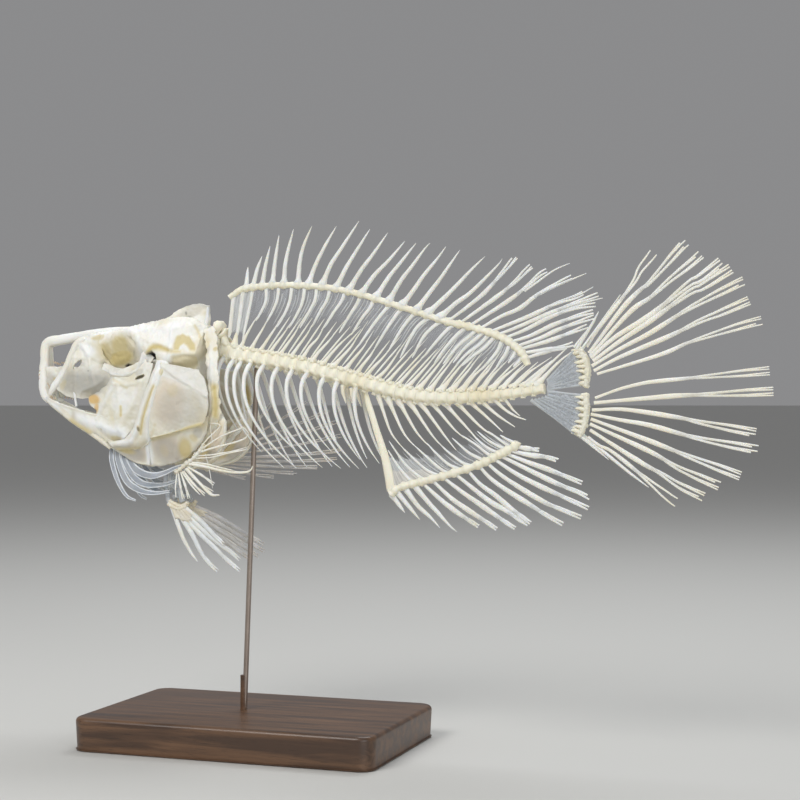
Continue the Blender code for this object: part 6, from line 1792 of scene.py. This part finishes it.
# The left fan's rays: (path of (x, z) from foot to tip, girth, number of ends)
LEFT_FAN = [
    ([(-73.4, -18.2), (-70.0, -14.4), (-64.6, -9.4), (-69.0, -8.4)], 0.30, 1),
    ([(-74.2, -19.2), (-64.7, -13.6), (-56.2, -10.4), (-54.6, -10.0), (-52.7, -12.0)], 0.34, 1),
    ([(-74.8, -19.8), (-68.8, -17.9), (-59.0, -15.5), (-54.4, -14.0), (-52.7, -12.2)], 0.42, 1),
    ([(-75.4, -20.6), (-67.6, -20.0), (-59.0, -18.6), (-52.2, -17.2)], 0.40, 2),
    ([(-76.0, -21.4), (-68.4, -21.0), (-61.0, -19.4), (-54.4, -18.2)], 0.26, 1),
    ([(-77.0, -22.9), (-70.4, -23.4), (-64.4, -24.6), (-58.8, -25.6)], 0.36, 1),
    ([(-77.4, -23.5), (-70.6, -24.4), (-64.7, -25.6), (-58.8, -26.3), (-53.6, -26.1), (-51.6, -24.9),
      (-51.3, -23.9)], 0.62, 1),
    ([(-78.0, -24.6), (-71.8, -27.7), (-66.4, -31.0)], 0.60, 2),
    ([(-78.6, -25.2), (-73.0, -30.2), (-68.0, -34.4), (-64.4, -34.6)], 0.66, 1),
    ([(-79.0, -25.6), (-74.2, -29.6), (-67.0, -34.0)], 0.46, 2),
    ([(-79.6, -26.1), (-75.3, -30.9), (-70.0, -35.0)], 0.62, 2),
    ([(-80.2, -26.4), (-76.4, -30.8), (-72.0, -34.6)], 0.40, 1),
    ([(-80.8, -26.6), (-78.2, -31.9), (-76.2, -36.4)], 0.56, 2),
    ([(-81.8, -27.0), (-80.4, -32.5), (-79.0, -36.6)], 0.55, 2),
    ([(-82.4, -27.2), (-82.2, -32.0), (-81.6, -35.6)], 0.30, 1),
    ([(-70.8, -19.8), (-69.0, -25.3), (-67.3, -32.2)], 0.16, 1),
    ([(-69.0, -8.4), (-68.4, -11.6), (-67.6, -15.6)], 0.15, 1)]
# The right fan's rays: (length, angle in degrees)
RIGHT_FAN = [(22.0, 48), (35.0, 31), (43.0, 22), (46.0, 16), (48.0, 10), (48.0, 4), (47.5, 1), (41.0, -2),
             (34.0, -5), (26.0, -8), (16.0, -12)]

# Painted shade: a darker copy of the white ray bone, laid on the fins of the far side.
FAR_FIN_SHADE_BONE = bone("dim ray bone", (0.66, 0.65, 0.64), (0.52, 0.51, 0.50), (0.55, 0.50, 0.42))


def polar(foot, length, angle):
    """The place (x, z) at a length from the foot, at an angle in degrees."""
    angle = math.radians(angle)
    return np.array([foot[0] + length * math.cos(angle), foot[1] + length * math.sin(angle)])


def pectoral_root(name, side, y):
    """The four small bones of the fin's root, and the knobbly line of ray bases on them."""
    paths = []
    for k, (x, z) in enumerate(spread(PECTORAL_BASE, 4)):
        inner = between(BLADE_Y, x)
        paths.append([(x - 2.2, side * (inner + 0.7), z + 1.6, 0.95),
                      (x - 1.4, side * (inner + 1.5), z + 1.1, 0.55),
                      (x - 0.5, side * (y - 0.6), z + 0.4, 0.7), (x + 0.1, side * y, z, 1.05)])
    line = smooth(PECTORAL_BASE, 26)
    knobs_along = [(x, side * y, z, 0.75 + 0.28 * math.sin(k * 2.1)) for k, (x, z) in enumerate(line)]
    return strands(name, paths + [knobs_along], IVORY, sides=12, ripple=0.9, ripple_size=700.0)


def add_left_pectoral(y=-13.2, points=26):
    chance = random.Random(21)
    taper = [(0, 1.0), (0.5, 0.9), (0.85, 0.75), (1, 0.35)]
    paths = []
    for way, width, ends in LEFT_FAN:
        splay = chance.uniform(-0.6, -2.6)
        if ends > 1:
            paths += soft_ray(way, width, ends=ends, split=0.6, fan=0.8, y=y, y_tip=y + splay, chance=chance)
        else:
            paths.append([(x, y + splay * t, z, width * between(taper, t))
                          for (x, z), t in zip(smooth(way, points), np.linspace(0, 1, points))])
    rays = strands("rays", paths, WHITE_CREAM, sides=8, flat=0.8, ripple=0.25)
    show(joined("pectoral_fan_left", pectoral_root("root", -1, -y), rays), "pale_bone", "pectoral_fin_left")


def add_right_pectoral(y=13.4):
    chance = random.Random(22)
    paths = []
    for foot, (length, angle) in zip(spread(smooth(PECTORAL_BASE, 41), len(RIGHT_FAN)), RIGHT_FAN):
        way = [foot, polar(foot, length * 0.55, angle - 1.5), polar(foot, length, angle)]
        wide = 0.72 if -4 <= angle <= 4 else 0.50
        paths += soft_ray(way, wide, ends=3, split=0.5, fan=1.3, y=y, y_tip=y + 0.14 * length, chance=chance)
    rays = strands("rays", paths, FAR_FIN_SHADE_BONE, sides=8, flat=0.8, ripple=0.25)
    show(joined("pectoral_fan_right", pectoral_root("root", 1, y), rays), "pale_bone", "pectoral_fin_right")


add_left_pectoral()
add_right_pectoral()

# --- Pelvis and pelvic fins -------------------------------------------------------------------
# Two thin grey bars on each side reach down from the shoulder, tied by a web at the top. Each
# side ends in a knobbly beige base with one stout spine and four branched, flattened rays.

PELVIC_BASES = [(-89.8, -39.4), (-88.2, -40.2), (-86.6, -40.8), (-85.1, -40.6), (-83.8, -40.0)]
LEFT_PELVIC = [
    [(-89.4, -39.8), (-86.5, -46.7), (-84.0, -52.2), (-80.6, -57.4), (-78.2, -60.2)],
    [(-88.0, -40.4), (-83.8, -45.6), (-80.4, -50.3), (-76.8, -56.6), (-72.8, -61.4), (-69.9, -63.8)],
    [(-86.6, -40.8), (-80.8, -46.5), (-75.0, -51.6), (-70.2, -55.5), (-65.0, -60.0), (-60.7, -63.4)],
    [(-85.2, -40.8), (-78.6, -46.3), (-70.8, -52.1), (-64.9, -55.8), (-60.6, -59.3)],
    [(-84.0, -40.2), (-77.4, -44.6), (-71.4, -49.6), (-66.8, -53.6)]]
RIGHT_PELVIC = [
    [(-89.4, -39.8), (-82.0, -46.6), (-74.0, -53.0), (-66.8, -58.8)],
    [(-88.0, -40.4), (-79.6, -47.0), (-70.0, -53.6), (-61.4, -59.8)],
    [(-86.6, -40.8), (-77.4, -46.6), (-68.0, -52.2), (-57.8, -59.0)],
    [(-85.2, -40.6), (-75.2, -45.6), (-66.4, -50.4), (-55.8, -57.0)],
    [(-84.0, -40.0), (-74.6, -43.8), (-66.0, -48.6), (-56.2, -54.4)]]

PEACH = bone("peach bone", (0.88, 0.82, 0.70), (0.80, 0.72, 0.56), (0.70, 0.60, 0.40))


def add_pelvis():
    paths = []
    for s in (-1, 1):
        paths.append([(-92.6, s * 2.2, -25.6, 0.5), (-92.4, s * 2.5, -29.0, 0.8),
                      (-92.0, s * 2.8, -33.0, 0.9), (-91.0, s * 3.2, -36.6, 1.0),
                      (-90.0, s * 3.4, -38.6, 1.0)])
        paths.append([(-88.2, s * 2.2, -26.0, 0.5), (-87.0, s * 2.7, -30.6, 0.9),
                      (-86.0, s * 3.0, -34.8, 1.1), (-84.8, s * 3.4, -38.2, 1.2)])
        paths.append([(-90.4, s * 2.4, -27.0, 0.4), (-88.8, s * 2.8, -31.4, 0.5),
                      (-87.2, s * 3.2, -36.6, 0.4)])
    ties = [[(-88.6, -3.0, -36.4, 0.8), (-88.8, 0.0, -36.0, 0.6), (-88.6, 3.0, -36.4, 0.8)],
            [(-84.8, -3.0, -36.0, 0.8), (-84.6, 0.0, -35.8, 0.6), (-84.8, 3.0, -36.0, 0.8)]]
    bars = strands("bars", [smooth(path, 24).tolist() for path in paths + ties], FOG, sides=14, flat=0.7,
                   ripple=0.5, ripple_size=500.0)
    sheets = [webs("sheet", [paths[k], paths[k + 2], paths[k + 1]], MILK, reach=0.86, thickness=0.3,
                   scallop=0.35) for k in (0, 3)]
    show(joined("pelvic_bones", bars, *sheets), "ivory_bone", "pelvic_girdle")


def add_pelvic_fin(name, side, ways, finish, web):
    """web holds the number of the first ray with a web behind it, and the web's reach and scallop."""
    base = smooth([(-90.6, -38.6), *PELVIC_BASES, (-83.0, -39.2)], 20)
    foot = [(x, side * 3.6, z, 0.85 + 0.15 * math.sin(2.3 * k)) for k, (x, z) in enumerate(base)]
    second = [(x + 0.4, side * 3.4, z + 1.1, g * 0.9) for x, y, z, g in foot]
    taper = [(0.0, 1.0), (0.3, 1.05), (0.7, 0.86), (0.92, 0.52), (1.0, 0.12)]
    paths, lines = [], []
    for k, way in enumerate(ways):
        depth = (side * 3.6, side * (4.4 + 0.5 * k))
        girths = [(share, girth * (1.0 if k else 0.86)) for share, girth in taper]
        ray = along(way, girths, 22, *depth)
        paths.append(ray)
        if k:
            paths.append([(x + 1.5 * max(0, t - 0.66), y, z + 2.6 * max(0, t - 0.66), g * 0.8)
                          for (x, y, z, g), t in zip(ray[8:], np.linspace(0.36, 1, 14))])
        lines.append(along(way, girths, 24, *depth))
    pieces = [strands("foot", [foot, second], PEACH, sides=14, ripple=0.7, ripple_size=650.0),
              webs("root", lines, PEACH, reach=0.22, thickness=1.3, scallop=0.15),
              strands("rays", paths, finish, sides=10, flat=0.6, ripple=0.25)]
    show(joined(f"pelvic_fan_{name}", *pieces), "pale_bone", f"pelvic_fin_{name}")
    first, reach, scallop = web
    show_extra(webs(f"pelvic_web_{name}", lines[first:], WEB, reach=reach, thickness=0.25, scallop=scallop,
                    down=16))


add_pelvis()
add_pelvic_fin("left", -1, LEFT_PELVIC, WHITE, web=(2, 0.6, 0.3))
# The right fin's rays are painted darker, as shade.
add_pelvic_fin("right", 1, RIGHT_PELVIC, FAR_FIN_SHADE_BONE, web=(0, 0.86, 0.12))
